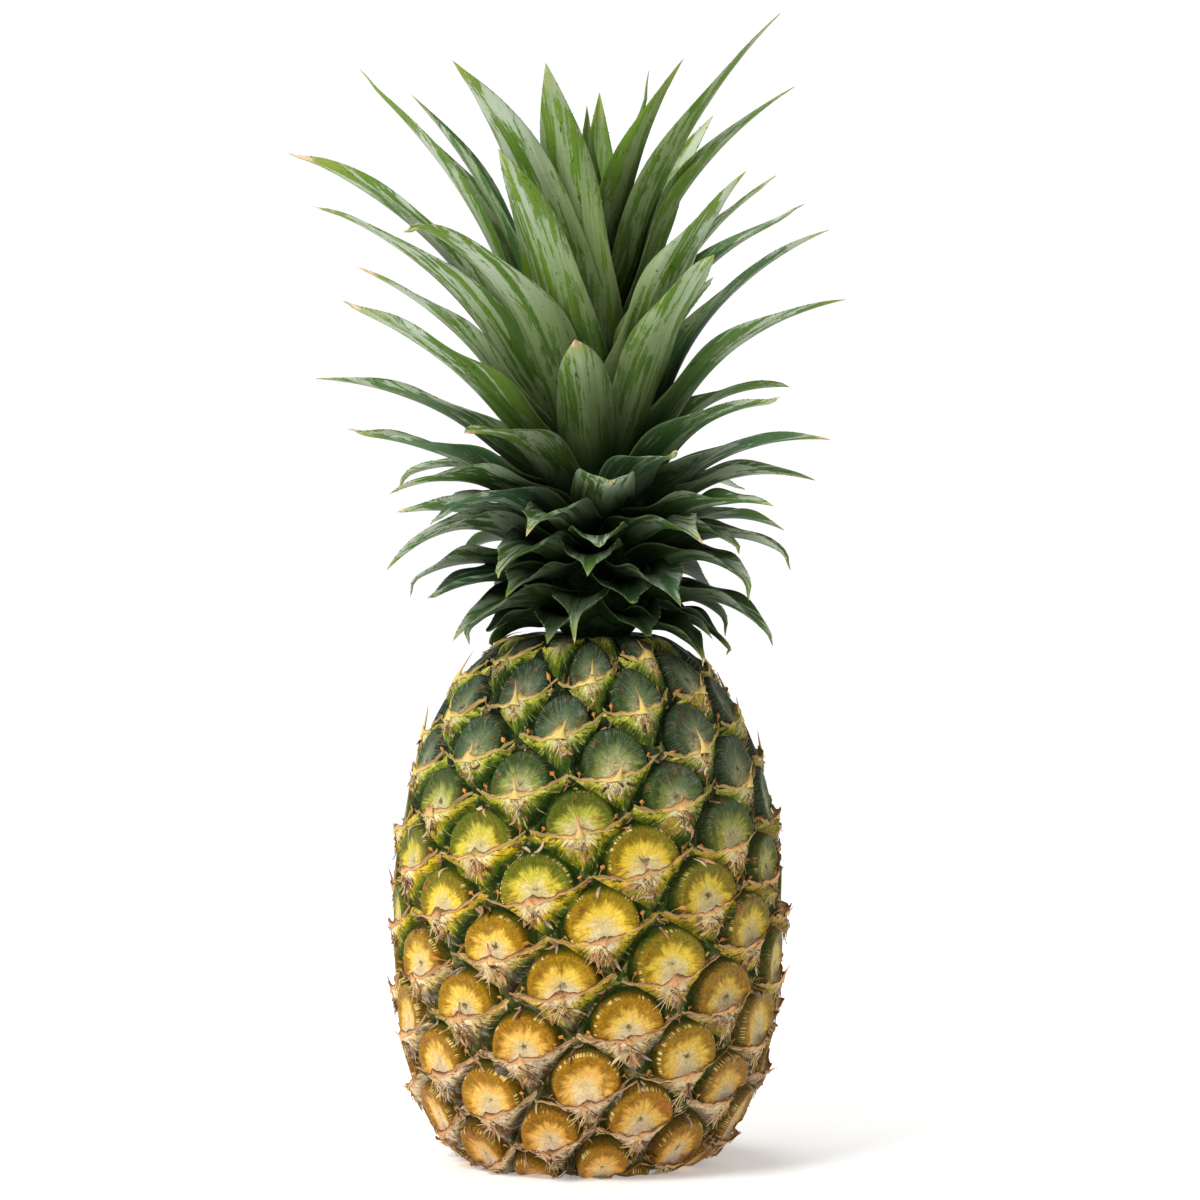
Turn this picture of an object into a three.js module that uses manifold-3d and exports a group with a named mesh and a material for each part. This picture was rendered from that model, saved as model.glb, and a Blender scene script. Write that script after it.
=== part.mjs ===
// A whole ripe pineapple standing on its base: the fruit with its spiral of fruitlets ("eyes"),
// the leafy crown that grew out of its top, and the cut end of the stalk underneath.
// Millimetres, +Z up. The origin is the middle of the cut stalk end that the fruit stands on.
// An azimuth is in degrees from the front (-Y), positive towards the right (+X).
import * as THREE from "three";
import { mergeVertices } from "three/addons/utils/BufferGeometryUtils.js";
import Module from "manifold-3d";

const wasm = await Module();
wasm.setup();

// Driving dimensions of the fruit
const FRUIT_TOP = 176; // height of the flat spot that carries the crown
const WIDEST_RADIUS = 64;
// The fruit's outline from the crown seat down to the foot, as [radius, height].
const OUTLINE = [
  [11, FRUIT_TOP], [20, FRUIT_TOP], [28.5, 173], [41.5, 161.5], [52.6, 143.5], [59.6, 122], [63.4, 100],
  [WIDEST_RADIUS, 76], [62.2, 46], [57, 26], [48, 9.5], [38, 1], [28, 0], [15.5, 0],
];
const LEAN = 1.4; // how far the fruit's axis moves towards +X between the foot and mid height
const LEAN_HEIGHT = 75;

// Driving dimensions of the spiral of fruitlets, counted downwards
const GOLDEN_ANGLE = 137.508;
const ZERO_AZIMUTH = 5; // azimuth of fruitlet 0, the front one at mid height
const ZERO_HEIGHT = 85.8;
const PITCH = 1.54; // distance down the skin from one fruitlet to the next, at the widest radius
const PITCH_POWER = 0.3; // the pitch grows towards both ends as the radius to this power shrinks
const STEEP = 8; // two fruitlets this many apart are neighbours to the lower right
const SHALLOW = 13; // and this many apart, to the lower left
const GRID = 5; // mesh steps between two neighbouring fruitlets
const CROWDING = 0.06; // how far the steps are drawn towards the grooves

// Driving dimensions of one fruitlet, at the widest radius
const EYE_RADIUS = 12.1;
const GROOVE = 2.5; // depth of the groove round each eye
const KEEL = 1; // how far the bract stands above the eye
const DIMPLE = 0.6;
const MARGIN_DROP = 4.6; // the bract's upper edge crosses this far below the eye's middle
const TIP_RISE = 3.4; // the bract's dry tip reaches this far up over the eye
const TIP_LIFT = 1.7;

// Driving dimensions of the cut stalk end
const STALK_RADIUS = 14;
const STALK_DEPTH = 8.5; // how far the stalk end reaches up into the fruit
const GAP = 0.35; // space between touching solids

// Driving dimensions of the crown
const CROWN_AXIS_X = 4.2;
// The short crown stem with the leaf bases that sheathe it, hidden by the leaves, as [radius, height].
const STEM = [[0, FRUIT_TOP + GAP], [14, FRUIT_TOP + GAP], [20, 183], [25, 200], [23, 228], [15, 254], [0, 272]];
const LEAF_STEPS = 6;
const LEAF_CLEARANCE = 5.4; // between a drooping leaf's middle and the fruit's shoulder
const LEAF_SAG = 0.4; // how far the channel's middle sinks under that line, in channel depths
// The leaves that face the viewer or stand out at the sides, from the lowest to the highest:
// azimuth, reach of the tip from the crown's axis, height of the tip, how far the leaf bows and,
// where it differs from the rule, the height where it leaves the stem.
const FRONT_LEAVES = [
  [52, 46, 167, 0.45], [-102, 37, 169, 0.45], [85, 46, 168, 0.5], [70, 63, 174, 0.46], [-75, 46, 176, 0.4],
  [-50, 61, 176, 0.35], [-10, 44, 181, 0.36], [15, 48, 186, 0.36], [28, 58, 188, 0.36], [-130, 46, 187, 0.4],
  [-65, 63, 187, 0.3], [-40, 46, 190, 0.4], [60, 60, 192, 0.46], [-80, 65, 192, 0.35], [-3, 56, 198, 0.34],
  [-35, 58, 196, 0.5], [-64, 76, 199, 0.5], [75, 68, 201, 0.4], [1, 62, 206, 0.3], [35, 60, 208, 0.4],
  [105, 65, 210, 0.35], [-20, 66, 211, 0.4], [-105, 72, 215, 0.24], [55, 70, 220, 0.24], [-57, 80, 224, 0.36],
  [62, 55, 204, 0.5], [-48, 74, 212, 0.5], [-100, 70, 226, 0.5], [95, 73, 227, 0.34], [4, 70, 228, 0.26],
  [30, 54, 235, 0.4], [80, 78, 241, 0.28], [-75, 86, 243, 0.19], [-40, 69, 243, 0.4], [60, 72, 253, 0.36],
  [100, 68, 258, 0.45], [-85, 93, 261, 0.25], [-8, 50, 274, 0.26], [-65, 93, 286, 0.2], [80, 83, 287, 0.32],
  [-90, 80, 298, 0.24], [40, 61, 303, 0.2], [84, 77, 310, 0.3], [-45, 90, 313, 0.38], [100, 72, 317, 0.42],
  [-75, 98, 319, 0.28], [45, 68, 328, 0.22], [120, 72, 329, 0.34], [-30, 63, 335, 0.2], [-80, 105, 337, 0.28],
  [-97, 62, 355, 0.22], [178, 26, 357, 0.1], [100, 67, 358, 0.36], [98, 20, 360, 0.2], [-20, 48, 363, 0.14],
  [-110, 87, 364, 0.22], [-36, 80, 364, 0.3], [60, 33, 366, 0.28], [82, 61, 381, 0.2, 264],
];
const BACK_LEAVES = 22; // leaves behind, spread by the golden angle, the lower the closer
const BACK_ARC = [76, 40]; // the lowest and the highest grow this far to either side of straight back
const BACK_TIPS = [178, 350]; // heights of the lowest and the highest tip
const BACK_CROWDING = 1.45;
const BACK_BOW = [0.45, 0.24];
const HEART_LEAVES = 5; // young upright leaves at the crown's middle
const HEART_TIPS = [290, 350];
const HEART_BOW = 0.12;
const BASE_LEAVES = 7; // short leaves all round that hide the foot of the stem
const BASE_LEAF = { reach: 39, tip: 175, bow: 0.5, start: 179 };

const degrees = THREE.MathUtils.degToRad;
const mix = THREE.MathUtils.lerp;
const smooth = THREE.MathUtils.smoothstep; // smooth(x, from, to)
const clamp = THREE.MathUtils.clamp;

// A repeatable number from 0 to 1 for whole number n, from the sine's far digits.
function scatter(n, salt) {
  const s = Math.sin(n * 12.9898 + salt * 78.233) * 43758.5453;
  return s - Math.floor(s);
}

// The outline as a list of close points, each with its place in the fruitlet count.
function walkOutline() {
  const curve = new THREE.SplineCurve(OUTLINE.map(([r, z]) => new THREE.Vector2(r, z)));
  const points = curve.getPoints(60 * (OUTLINE.length - 1));
  let count = 0;
  const walk = points.map((p, i) => {
    if (i > 0) {
      const pitch = PITCH * (WIDEST_RADIUS / p.x) ** PITCH_POWER;
      count += p.distanceTo(points[i - 1]) / pitch;
    }
    return { r: p.x, z: p.y, count };
  });
  const zero = walk.find((p) => p.z < ZERO_HEIGHT).count;
  walk.forEach((p) => (p.count -= zero));
  return walk;
}

const WALK = walkOutline();
const FIRST = WALK[0].count;
const LAST = WALK[WALK.length - 1].count;

// Radius, height and outward normal of the outline at a place in the fruitlet count.
function outlineAt(count) {
  const found = WALK.findIndex((p) => p.count >= count);
  const i = found < 0 ? WALK.length - 1 : Math.max(found, 1);
  const [p, q] = [WALK[i - 1], WALK[i]];
  const share = clamp((count - p.count) / (q.count - p.count), 0, 1);
  const along = Math.hypot(q.r - p.r, q.z - p.z);
  return {
    r: mix(p.r, q.r, share), z: mix(p.z, q.z, share),
    nr: -(q.z - p.z) / along, nz: (q.r - p.r) / along,
  };
}

// Height of the fruit's shoulder at a radius, or far below where the fruit doesn't reach.
function shoulderAt(radius) {
  const found = WALK.find((p) => p.r >= radius);
  return found ? found.z : -1e3;
}

function leanAt(z) {
  return LEAN * smooth(z, 0, LEAN_HEIGHT);
}

// Steps to the lower-right and lower-left neighbour, in millimetres across and down the skin.
function neighbourStep(apart) {
  const turn = apart * GOLDEN_ANGLE;
  const across = degrees(turn - 360 * Math.round(turn / 360)) * WIDEST_RADIUS;
  return { across, down: apart * PITCH };
}
const TO_RIGHT = neighbourStep(STEEP);
const TO_LEFT = neighbourStep(SHALLOW);
const CELL_WIDTH = Math.hypot(TO_RIGHT.across, TO_RIGHT.down);

// Relief of one fruitlet at shares a and b (-0.5 to 0.5) of the way to its two lower neighbours.
function relief(a, b) {
  const x = a * TO_RIGHT.across + b * TO_LEFT.across;
  const y = a * TO_RIGHT.down + b * TO_LEFT.down;
  const rho = Math.hypot(x, y) / EYE_RADIUS;
  const eye = -GROOVE * smooth(rho, 0.66, 1.02) - DIMPLE * Math.exp(-((rho / 0.3) ** 2));
  const edge = Math.min(0.5 - a, 0.5 - b) * CELL_WIDTH; // distance to the two lower neighbours
  const margin = MARGIN_DROP - 0.1 * x - 0.004 * x * x;
  const below = y - margin;
  const bract = mix(-GROOVE, KEEL - 0.12 * Math.max(below, 0), 1 - Math.exp(-edge / 2.6));
  const onBract = smooth(below, -1.2, 0.4);
  const tip = Math.exp(-((x / 2.8) ** 2) - ((below - 0.4) / 1.7) ** 2);
  return { lift: mix(eye, bract, onBract) + TIP_LIFT * tip, down: -TIP_RISE * tip };
}

// Mesh step i as a place between neighbouring fruitlets: whole numbers are the eyes' middles, and
// the steps crowd towards the halves, where the grooves run.
function stepShare(i) {
  const share = i / GRID - 0.5;
  return share + CROWDING * Math.sin(2 * Math.PI * share);
}

// A point of the skin, i and j mesh steps from the groove above fruitlet 0.
function skinPoint(i, j) {
  const [right, left] = [stepShare(i), stepShare(j)];
  const { lift, down } = relief(right - Math.round(right), left - Math.round(left));
  const count = STEEP * right + SHALLOW * left;
  const turn = (right * TO_RIGHT.across + left * TO_LEFT.across) / WIDEST_RADIUS;
  const azimuth = degrees(ZERO_AZIMUTH) + turn;
  const away = Math.min(count - FIRST, LAST - count);
  const at = outlineAt(count + (down / PITCH) * smooth(away, 6, 14));
  const strength = smooth(away, 0, 9) * Math.min(1, at.r / 46);
  const r = at.r + at.nr * lift * strength;
  const z = clamp(at.z + at.nz * lift * strength, 0, FRUIT_TOP);
  return [leanAt(z) + r * Math.sin(azimuth), -r * Math.cos(azimuth), z];
}

// The whole skin: a grid that runs along the two spiral families and closes on itself after
// 13 steps one way and 8 back the other, with a middle point at the top and at the foot.
function skinGeometry() {
  const positions = [LEAN, 0, FRUIT_TOP, 0, 0, 0];
  const [TOP, FOOT] = [0, 1];
  const known = new Map();
  const round = SHALLOW * GRID;
  const vertex = (i, j) => {
    const laps = Math.floor(i / round);
    const [ci, cj] = [i - laps * round, j + laps * STEEP * GRID];
    const count = STEEP * stepShare(ci) + SHALLOW * stepShare(cj);
    if (count < FIRST + 0.5) return TOP;
    if (count > LAST - 0.5) return FOOT;
    const key = ci + ":" + cj;
    if (!known.has(key)) {
      known.set(key, positions.length / 3);
      positions.push(...skinPoint(ci, cj));
    }
    return known.get(key);
  };
  const faces = [];
  const addFace = (p, q, r) => {
    if (p !== q && q !== r && r !== p) faces.push(p, q, r);
  };
  for (let i = 0; i < round; i++) {
    const first = Math.floor((FIRST * GRID - STEEP * (i + 1)) / SHALLOW) - 2;
    const last = Math.ceil((LAST * GRID - STEEP * i) / SHALLOW) + GRID + 2;
    for (let j = first; j <= last; j++) {
      const [above, left, right, under] = [vertex(i, j), vertex(i, j + 1), vertex(i + 1, j), vertex(i + 1, j + 1)];
      addFace(above, left, right);
      addFace(left, under, right);
    }
  }
  return geometryOf(positions, faces);
}

function geometryOf(positions, faces) {
  const geometry = new THREE.BufferGeometry();
  geometry.setAttribute("position", new THREE.Float32BufferAttribute(positions, 3));
  geometry.setIndex(faces);
  return geometry;
}

// A closed geometry as a solid that can be joined and cut.
function solidOf(geometry) {
  const bare = geometry.clone();
  bare.deleteAttribute("normal");
  bare.deleteAttribute("uv");
  const merged = mergeVertices(bare, 1e-4);
  const vertProperties = merged.attributes.position.array;
  const triVerts = new Uint32Array(merged.index.array);
  return new wasm.Manifold(new wasm.Mesh({ numProp: 3, vertProperties, triVerts }));
}

function geometryOfSolid(solid) {
  const mesh = solid.getMesh();
  const geometry = geometryOf([], [...mesh.triVerts]);
  geometry.setAttribute("position", new THREE.BufferAttribute(new Float32Array(mesh.vertProperties), 3));
  return geometry;
}

// A profile of [radius, height] pairs turned round the vertical axis.
function turned(profile, sides) {
  const geometry = new THREE.LatheGeometry(profile.map(([r, z]) => new THREE.Vector2(r, z)), sides);
  return geometry.rotateX(Math.PI / 2);
}

// Fruit: the skin, with a socket underneath for the stalk end.
function fruitGeometry() {
  const [r, top] = [STALK_RADIUS + GAP, STALK_DEPTH + GAP];
  const socket = turned([[0, -1], [r, -1], [r, top], [0, top]], 24);
  return geometryOfSolid(solidOf(skinGeometry()).subtract(solidOf(socket)));
}

// Stalk end: cut square, with a slightly rounded rim.
function stalkGeometry() {
  const rim = 0.9;
  return turned(
    [[0, 0], [STALK_RADIUS - rim, 0], [STALK_RADIUS, rim], [STALK_RADIUS, STALK_DEPTH], [0, STALK_DEPTH]], 24,
  );
}

function stemRadiusAt(z) {
  const above = STEM.findIndex(([, height]) => height > z && height > STEM[1][1]);
  if (above < 0) return 1;
  const [[r0, z0], [r1, z1]] = [STEM[above - 1], STEM[above]];
  return mix(r0, r1, clamp((z - z0) / (z1 - z0), 0, 1));
}

// Height where a leaf leaves the stem: the higher its tip, the higher up, but ever less so.
function rootHeight(tip) {
  return 179 + 60 * (1 - Math.exp((168 - tip) / 75));
}

// The middle line of a leaf as points [distance from the crown's axis, height]: it bows upwards
// and is bent clear of the fruit's shoulder.
function leafLine({ reach, tip, bow, start = rootHeight(tip) }, steps) {
  const from = new THREE.Vector2(stemRadiusAt(start) * 0.6, start);
  const to = new THREE.Vector2(reach, tip);
  const chord = to.clone().sub(from);
  const middle = from.clone().add(to).multiplyScalar(0.5);
  middle.add(new THREE.Vector2(-chord.y, chord.x).multiplyScalar(bow));
  const line = new THREE.QuadraticBezierCurve(from, middle, to).getPoints(steps);
  line.forEach((p) => (p.y = Math.max(p.y, shoulderAt(p.x) + LEAF_CLEARANCE)));
  return line;
}

// How wide a blade is along its length. The side leaves taper all along, and the front ones
// stay broad for longer. The low ones among these end in a short narrow tip.
function widthShare(share, { azimuth, tip }) {
  const fromFront = Math.abs(((((azimuth + 180) % 360) + 360) % 360) - 180);
  const blunt = 1 - smooth(fromFront, 35, 75);
  const pinch = 0.5 * blunt * (1 - smooth(tip, 225, 250));
  const taper = 1 - share ** mix(2.3, 3.4, blunt);
  return taper * (1 - pinch * smooth(share, 0.68, 0.88)) * mix(0.85, 1, smooth(share, 0, 0.3));
}

// One leaf: a channelled blade, four-sided in section, that tapers to a point.
function leafSolid(leaf) {
  const { azimuth, serial } = leaf;
  const line = leafLine(leaf, LEAF_STEPS);
  const long = line.reduce((sum, p, i) => (i ? sum + p.distanceTo(line[i - 1]) : 0), 0);
  const width = clamp(15 + 0.09 * long, 21, 28);
  const twist = degrees(mix(-9, 9, scatter(serial, 1)));
  const turn = degrees(azimuth);
  const outwards = new THREE.Vector3(Math.sin(turn), -Math.cos(turn), 0);
  const sideways = new THREE.Vector3(Math.cos(turn), Math.sin(turn), 0);
  const place = (p) => new THREE.Vector3(CROWN_AXIS_X, 0, p.y).addScaledVector(outwards, p.x);
  const points = [];
  line.slice(0, -1).forEach((p, i) => {
    const share = i / LEAF_STEPS;
    const along = place(line[i + 1]).sub(place(line[Math.max(i - 1, 0)])).normalize();
    const inner = new THREE.Vector3().crossVectors(along, sideways).normalize(); // the leaf's upper side
    const side = sideways.clone().applyAxisAngle(along, twist * share);
    inner.applyAxisAngle(along, twist * share);
    const half = (width / 2) * widthShare(share, leaf);
    const depth = half * mix(0.66, 0.34, smooth(share, 0, 0.8));
    const thick = mix(1.5, 0.9, share);
    const middle = place(p).addScaledVector(inner, -LEAF_SAG * depth * smooth(share, 0, 0.3));
    points.push(
      middle.clone().addScaledVector(side, -half).addScaledVector(inner, depth),
      middle.clone().addScaledVector(inner, -thick),
      middle.clone().addScaledVector(side, half).addScaledVector(inner, depth),
      middle.clone().addScaledVector(inner, thick),
    );
  });
  const end = points.length;
  points.push(place(line[LEAF_STEPS]));
  const faces = [0, 2, 1, 0, 3, 2];
  for (let ring = 0; ring < end; ring += 4)
    for (let k = 0; k < 4; k++) {
      const [p, q] = [ring + k, ring + ((k + 1) % 4)];
      if (ring + 4 < end) faces.push(p, q, p + 4, q, q + 4, p + 4);
      else faces.push(p, q, end);
    }
  const solid = solidOf(geometryOf(points.flatMap((p) => p.toArray()), faces));
  if (solid.volume() <= 0) throw new Error("a leaf is inside out");
  return solid;
}

function allLeaves() {
  const leaves = FRONT_LEAVES.map(([azimuth, reach, tip, bow, start]) => ({ azimuth, reach, tip, bow, start }));
  for (let n = 0; n < BACK_LEAVES; n++) {
    const share = (n / (BACK_LEAVES - 1)) ** BACK_CROWDING;
    const side = ((n * GOLDEN_ANGLE) / 360) % 1;
    const arc = mix(...BACK_ARC, smooth(share, 0, 0.35));
    leaves.push({
      azimuth: 180 + mix(-arc, arc, side),
      reach: mix(46, 80, smooth(share, 0, 0.3)) - 16 * smooth(share, 0.7, 1),
      tip: mix(...BACK_TIPS, share),
      bow: mix(...BACK_BOW, share),
    });
  }
  for (let n = 0; n < HEART_LEAVES; n++) {
    const share = n / (HEART_LEAVES - 1);
    const azimuth = 40 + n * GOLDEN_ANGLE;
    leaves.push({ azimuth, reach: mix(24, 6, share), tip: mix(...HEART_TIPS, share), bow: HEART_BOW });
  }
  for (let n = 0; n < BASE_LEAVES; n++) leaves.push({ azimuth: 27 + (n * 360) / BASE_LEAVES, ...BASE_LEAF });
  return leaves.map((leaf, serial) => ({ ...leaf, serial }));
}

// Crown: its short stem and every leaf, grown together in one body.
function crownGeometry() {
  const stem = solidOf(turned(STEM, 14)).translate([CROWN_AXIS_X, 0, 0]);
  const joined = wasm.Manifold.union([stem, ...allLeaves().map(leafSolid)]);
  // Pockets that closed up between leaves come out as shells of their own and are filled.
  const shells = joined.decompose().sort((p, q) => q.volume() - p.volume());
  return geometryOfSolid(shells[0]);
}

function named(name, geometry, color, roughness) {
  const material = new THREE.MeshStandardMaterial({ color, roughness, metalness: 0, flatShading: true });
  const mesh = new THREE.Mesh(geometry, material);
  mesh.name = name;
  return mesh;
}

const pineapple = new THREE.Group();
pineapple.add(
  named("fruit", fruitGeometry(), 0xa8902f, 0.55),
  named("crown", crownGeometry(), 0x5c7a46, 0.6),
  named("stalk_end", stalkGeometry(), 0xb59a68, 0.85),
);

export default pineapple;
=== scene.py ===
# %% [markdown]
# # A whole ripe pineapple
# The solids of this pineapple already exist: a fruit, a leafy crown and the cut end of the stalk.
# They come in as a fixed frame, and every piece made here stands where its solid stands.
# The lesson builds the rind, the dry bracts on it, the crown's leaves and the stalk's cut face.
# Shapes are worked out in millimetres and divided by a thousand when a mesh is made.

import math

import bpy
import numpy as np
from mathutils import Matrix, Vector


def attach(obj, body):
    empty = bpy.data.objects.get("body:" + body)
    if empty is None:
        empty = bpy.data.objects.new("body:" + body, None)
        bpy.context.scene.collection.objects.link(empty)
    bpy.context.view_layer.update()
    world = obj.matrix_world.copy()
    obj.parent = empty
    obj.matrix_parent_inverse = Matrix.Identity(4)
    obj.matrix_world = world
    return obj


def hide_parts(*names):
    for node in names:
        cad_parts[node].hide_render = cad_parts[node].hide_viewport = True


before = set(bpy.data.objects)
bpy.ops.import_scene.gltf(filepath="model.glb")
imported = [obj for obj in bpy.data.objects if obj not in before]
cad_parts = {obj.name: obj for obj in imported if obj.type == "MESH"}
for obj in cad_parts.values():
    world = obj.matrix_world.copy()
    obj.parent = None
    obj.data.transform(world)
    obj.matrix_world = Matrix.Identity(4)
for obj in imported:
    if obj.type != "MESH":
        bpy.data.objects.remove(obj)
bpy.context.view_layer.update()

# %% [markdown]
# ## Small helpers for numbers
# Most shapes here are formulas over whole arrays of points. Two helpers come up again and again:
# a soft step from 0 to 1, and a repeatable random table, so that each run gives the same fruit.


# %% Soft step and repeatable random tables
def soft_step(value, low, high):
    share = np.clip((value - low) / (high - low), 0, 1)
    return share * share * (3 - 2 * share)


def random_table(seed, *shape):
    return np.random.RandomState(seed).rand(*shape)


def unit(vectors):
    return vectors / np.maximum(np.linalg.norm(vectors, axis=-1, keepdims=True), 1e-9)


# %% [markdown]
# ## From points to a Blender mesh
# A mesh is a list of points, a list of faces and, for the material, one or more UV layers.
# bmesh could add the faces one by one, but with a hundred thousand of them it is slow.
# from_pydata takes them all at once, and the UV layers are then filled from flat arrays.


# %% Make a piece that rides on the frame
def make_piece(name, points, faces, uv_layers, material, smooth=True):
    mesh = bpy.data.meshes.new(name)
    mesh.from_pydata((np.asarray(points) / 1000).tolist(), [], faces)
    for layer, values in uv_layers.items():
        uv = mesh.uv_layers.new(name=layer)
        uv.data.foreach_set("uv", np.asarray(values, np.float32).ravel())
    mesh.polygons.foreach_set("use_smooth", [smooth] * len(mesh.polygons))
    mesh.update()
    mesh.validate(clean_customdata=False)
    mesh.materials.append(material)
    piece = bpy.data.objects.new(name, mesh)
    bpy.context.scene.collection.objects.link(piece)
    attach(piece, "root")
    triangles = sum(len(p.vertices) - 2 for p in mesh.polygons)
    print(f"{name}: {len(mesh.vertices)} points, {triangles} triangles")
    return piece


# %% [markdown]
# ## Writing materials
# A material is a small program made of nodes. Placing nodes by hand is fine for a picture, but
# in a script each node costs several lines. A small class turns every node into one short call
# that returns the node's output, so a material reads like a formula. It starts with the calls
# that make a node and feed its sockets with a number, a colour or another node's output.


# %% Make nodes and feed them
class NodeWriter:
    def __init__(self, name):
        self.material = bpy.data.materials.new(name)
        self.material.use_nodes = True
        self.tree = self.material.node_tree
        self.shader = self.tree.nodes["Principled BSDF"]

    def node(self, kind, inputs, **settings):
        made = self.tree.nodes.new(kind)
        for key, value in settings.items():
            setattr(made, key, value)
        for socket, value in inputs.items():
            self.feed(made.inputs[socket], value)
        return made.outputs[0]

    def feed(self, socket, value):
        if isinstance(value, bpy.types.NodeSocket):
            self.tree.links.new(value, socket)
        else:
            socket.default_value = value

    def set(self, **sockets):
        """Set sockets of the surface shader, with an underscore for each space in a name."""
        for name, value in sockets.items():
            self.feed(self.shader.inputs[name.replace("_", " ")], value)


# %% [markdown]
# Next come sums. The most used of all is the soft step, which goes from one value to another
# between two limits: it says where a colour begins, and how softly.


# %% Arithmetic with nodes
class Arithmetic(NodeWriter):
    def math(self, operation, a, b=0.0):
        return self.node("ShaderNodeMath", {0: a, 1: b}, operation=operation)

    def plus(self, a, b):
        return self.math("ADD", a, b)

    def minus(self, a, b):
        return self.math("SUBTRACT", a, b)

    def times(self, a, b):
        return self.math("MULTIPLY", a, b)

    def over(self, a, b):
        return self.math("DIVIDE", a, b)

    def length_of(self, x, y):
        return self.math("SQRT", self.plus(self.times(x, x), self.times(y, y)))

    def sum_of(self, first, *weighted):
        """first plus each (value, weight, middle) as weight * (value - middle)."""
        total = first
        for value, weight, middle in weighted:
            total = self.plus(total, self.times(self.minus(value, middle), weight))
        return total

    def step(self, value, low, high, to_low=0.0, to_high=1.0):
        """A soft step: to_low below low, to_high above high. High may be under low."""
        if low > high:
            low, high, to_low, to_high = high, low, to_high, to_low
        inputs = {0: value, 1: low, 2: high, 3: to_low, 4: to_high}
        return self.node("ShaderNodeMapRange", inputs, interpolation_type="SMOOTHSTEP")


# %% [markdown]
# Last come the calls that read a place, make noise there and turn numbers into colours. A UV
# layer gives a place along the surface, and Object coordinates give one in space.


# %% Places, noise and colours
class Recipe(Arithmetic):
    def apart(self, place):
        """The x, y and z of a place."""
        split = self.tree.nodes.new("ShaderNodeSeparateXYZ")
        self.feed(split.inputs[0], place)
        return split.outputs[:]

    def uv(self, layer):
        return self.apart(self.node("ShaderNodeUVMap", {}, uv_map=layer))[:2]

    def place(self):
        made = self.tree.nodes.new("ShaderNodeTexCoord")
        return made.outputs["Object"]

    def height(self):
        """Height above the table, in millimetres."""
        return self.times(self.apart(self.place())[2], 1000.0)

    def point(self, x, y, z=0.0):
        return self.node("ShaderNodeCombineXYZ", {0: x, 1: y, 2: z})

    def noise(self, vector, scale, detail=2.0, roughness=0.5, distortion=0.0):
        inputs = {"Vector": vector, "Scale": scale, "Detail": detail}
        inputs.update({"Roughness": roughness, "Distortion": distortion})
        return self.node("ShaderNodeTexNoise", inputs)

    def ramp(self, value, stops):
        made = self.tree.nodes.new("ShaderNodeValToRGB")
        elements = made.color_ramp.elements
        while len(elements) < len(stops):
            elements.new(0.5)
        for element, (position, colour) in zip(elements, stops):
            element.position = position
            element.color = (*colour, 1)
        self.feed(made.inputs[0], value)
        return made.outputs[0]

    def mix(self, share, a, b, blend="MIX"):
        made = self.tree.nodes.new("ShaderNodeMix")
        made.data_type = "RGBA"
        made.blend_type = blend
        made.clamp_factor = True
        for socket, value in ((0, share), (6, a), (7, b)):
            self.feed(made.inputs[socket], (*value, 1) if isinstance(value, tuple) else value)
        return made.outputs[2]

    def bump(self, height, strength, distance):
        return self.node("ShaderNodeBump", {"Height": height, "Strength": strength, "Distance": distance})


# %% [markdown]
# ## The fruit's outline
# A pineapple is a barrel with rounded shoulders. The outline is a smooth curve through a few
# measured points, the same ones as in the solid, so that the finer rind lies on the solid's.
# A Catmull-Rom curve passes through every point that it is given, which suits measured ones.

# %% Outline points and the curve through them
FRUIT_TOP = 176.0
WIDEST = 64.0
OUTLINE = np.array([
    (11, FRUIT_TOP), (20, FRUIT_TOP), (28.5, 173), (41.5, 161.5), (52.6, 143.5), (59.6, 122), (63.4, 100),
    (WIDEST, 76), (62.2, 46), (57, 26), (48, 9.5), (38, 1), (28, 0), (15.5, 0),
])


def curve_through(points, steps):
    padded = np.vstack([points[:1], points, points[-1:]])
    t = np.linspace(0, 1, steps, endpoint=False)[:, None]
    pieces = []
    for p0, p1, p2, p3 in zip(padded, padded[1:], padded[2:], padded[3:]):
        v0, v1 = (p2 - p0) / 2, (p3 - p1) / 2
        cubic = (2 * p1 - 2 * p2 + v0 + v1) * t**3 + (3 * p2 - 3 * p1 - 2 * v0 - v1) * t**2
        pieces.append(cubic + v0 * t + p1)
    return np.vstack([*pieces, points[-1:]])


outline = curve_through(OUTLINE, 60)
print("outline:", len(outline), "points, widest", round(outline[:, 0].max(), 1), "mm")

# %% [markdown]
# ## The spiral of eyes
# Each eye is one small fruit, grown together with the rest. A new one forms a golden angle
# (137.5 degrees) from the last, which packs them in two families of spirals: every 8th eye is
# the neighbour to the lower right, and every 13th to the lower left. Counting eyes down the
# outline gives each one its height, and the golden angle gives its azimuth.

# %% Count the eyes along the outline
GOLDEN_ANGLE = 137.508
PITCH = 1.54
PITCH_POWER = 0.3
ZERO_HEIGHT = 85.8
ZERO_AZIMUTH = 5.0
LEAN = 1.4

lengths = np.linalg.norm(np.diff(outline, axis=0), axis=1)
pitches = PITCH * (WIDEST / outline[1:, 0]) ** PITCH_POWER
count = np.concatenate([[0], np.cumsum(lengths / pitches)])
count -= count[np.argmax(outline[:, 1] < ZERO_HEIGHT)]
FIRST, LAST = count[0], count[-1]
across_normal = np.gradient(outline, axis=0) @ np.array([[0, 1], [-1, 0]])
outline_normal = unit(across_normal)


def neighbour_step(apart):
    turn = apart * GOLDEN_ANGLE
    turn -= 360 * round(turn / 360)
    return np.array([math.radians(turn) * WIDEST, apart * PITCH])


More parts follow.
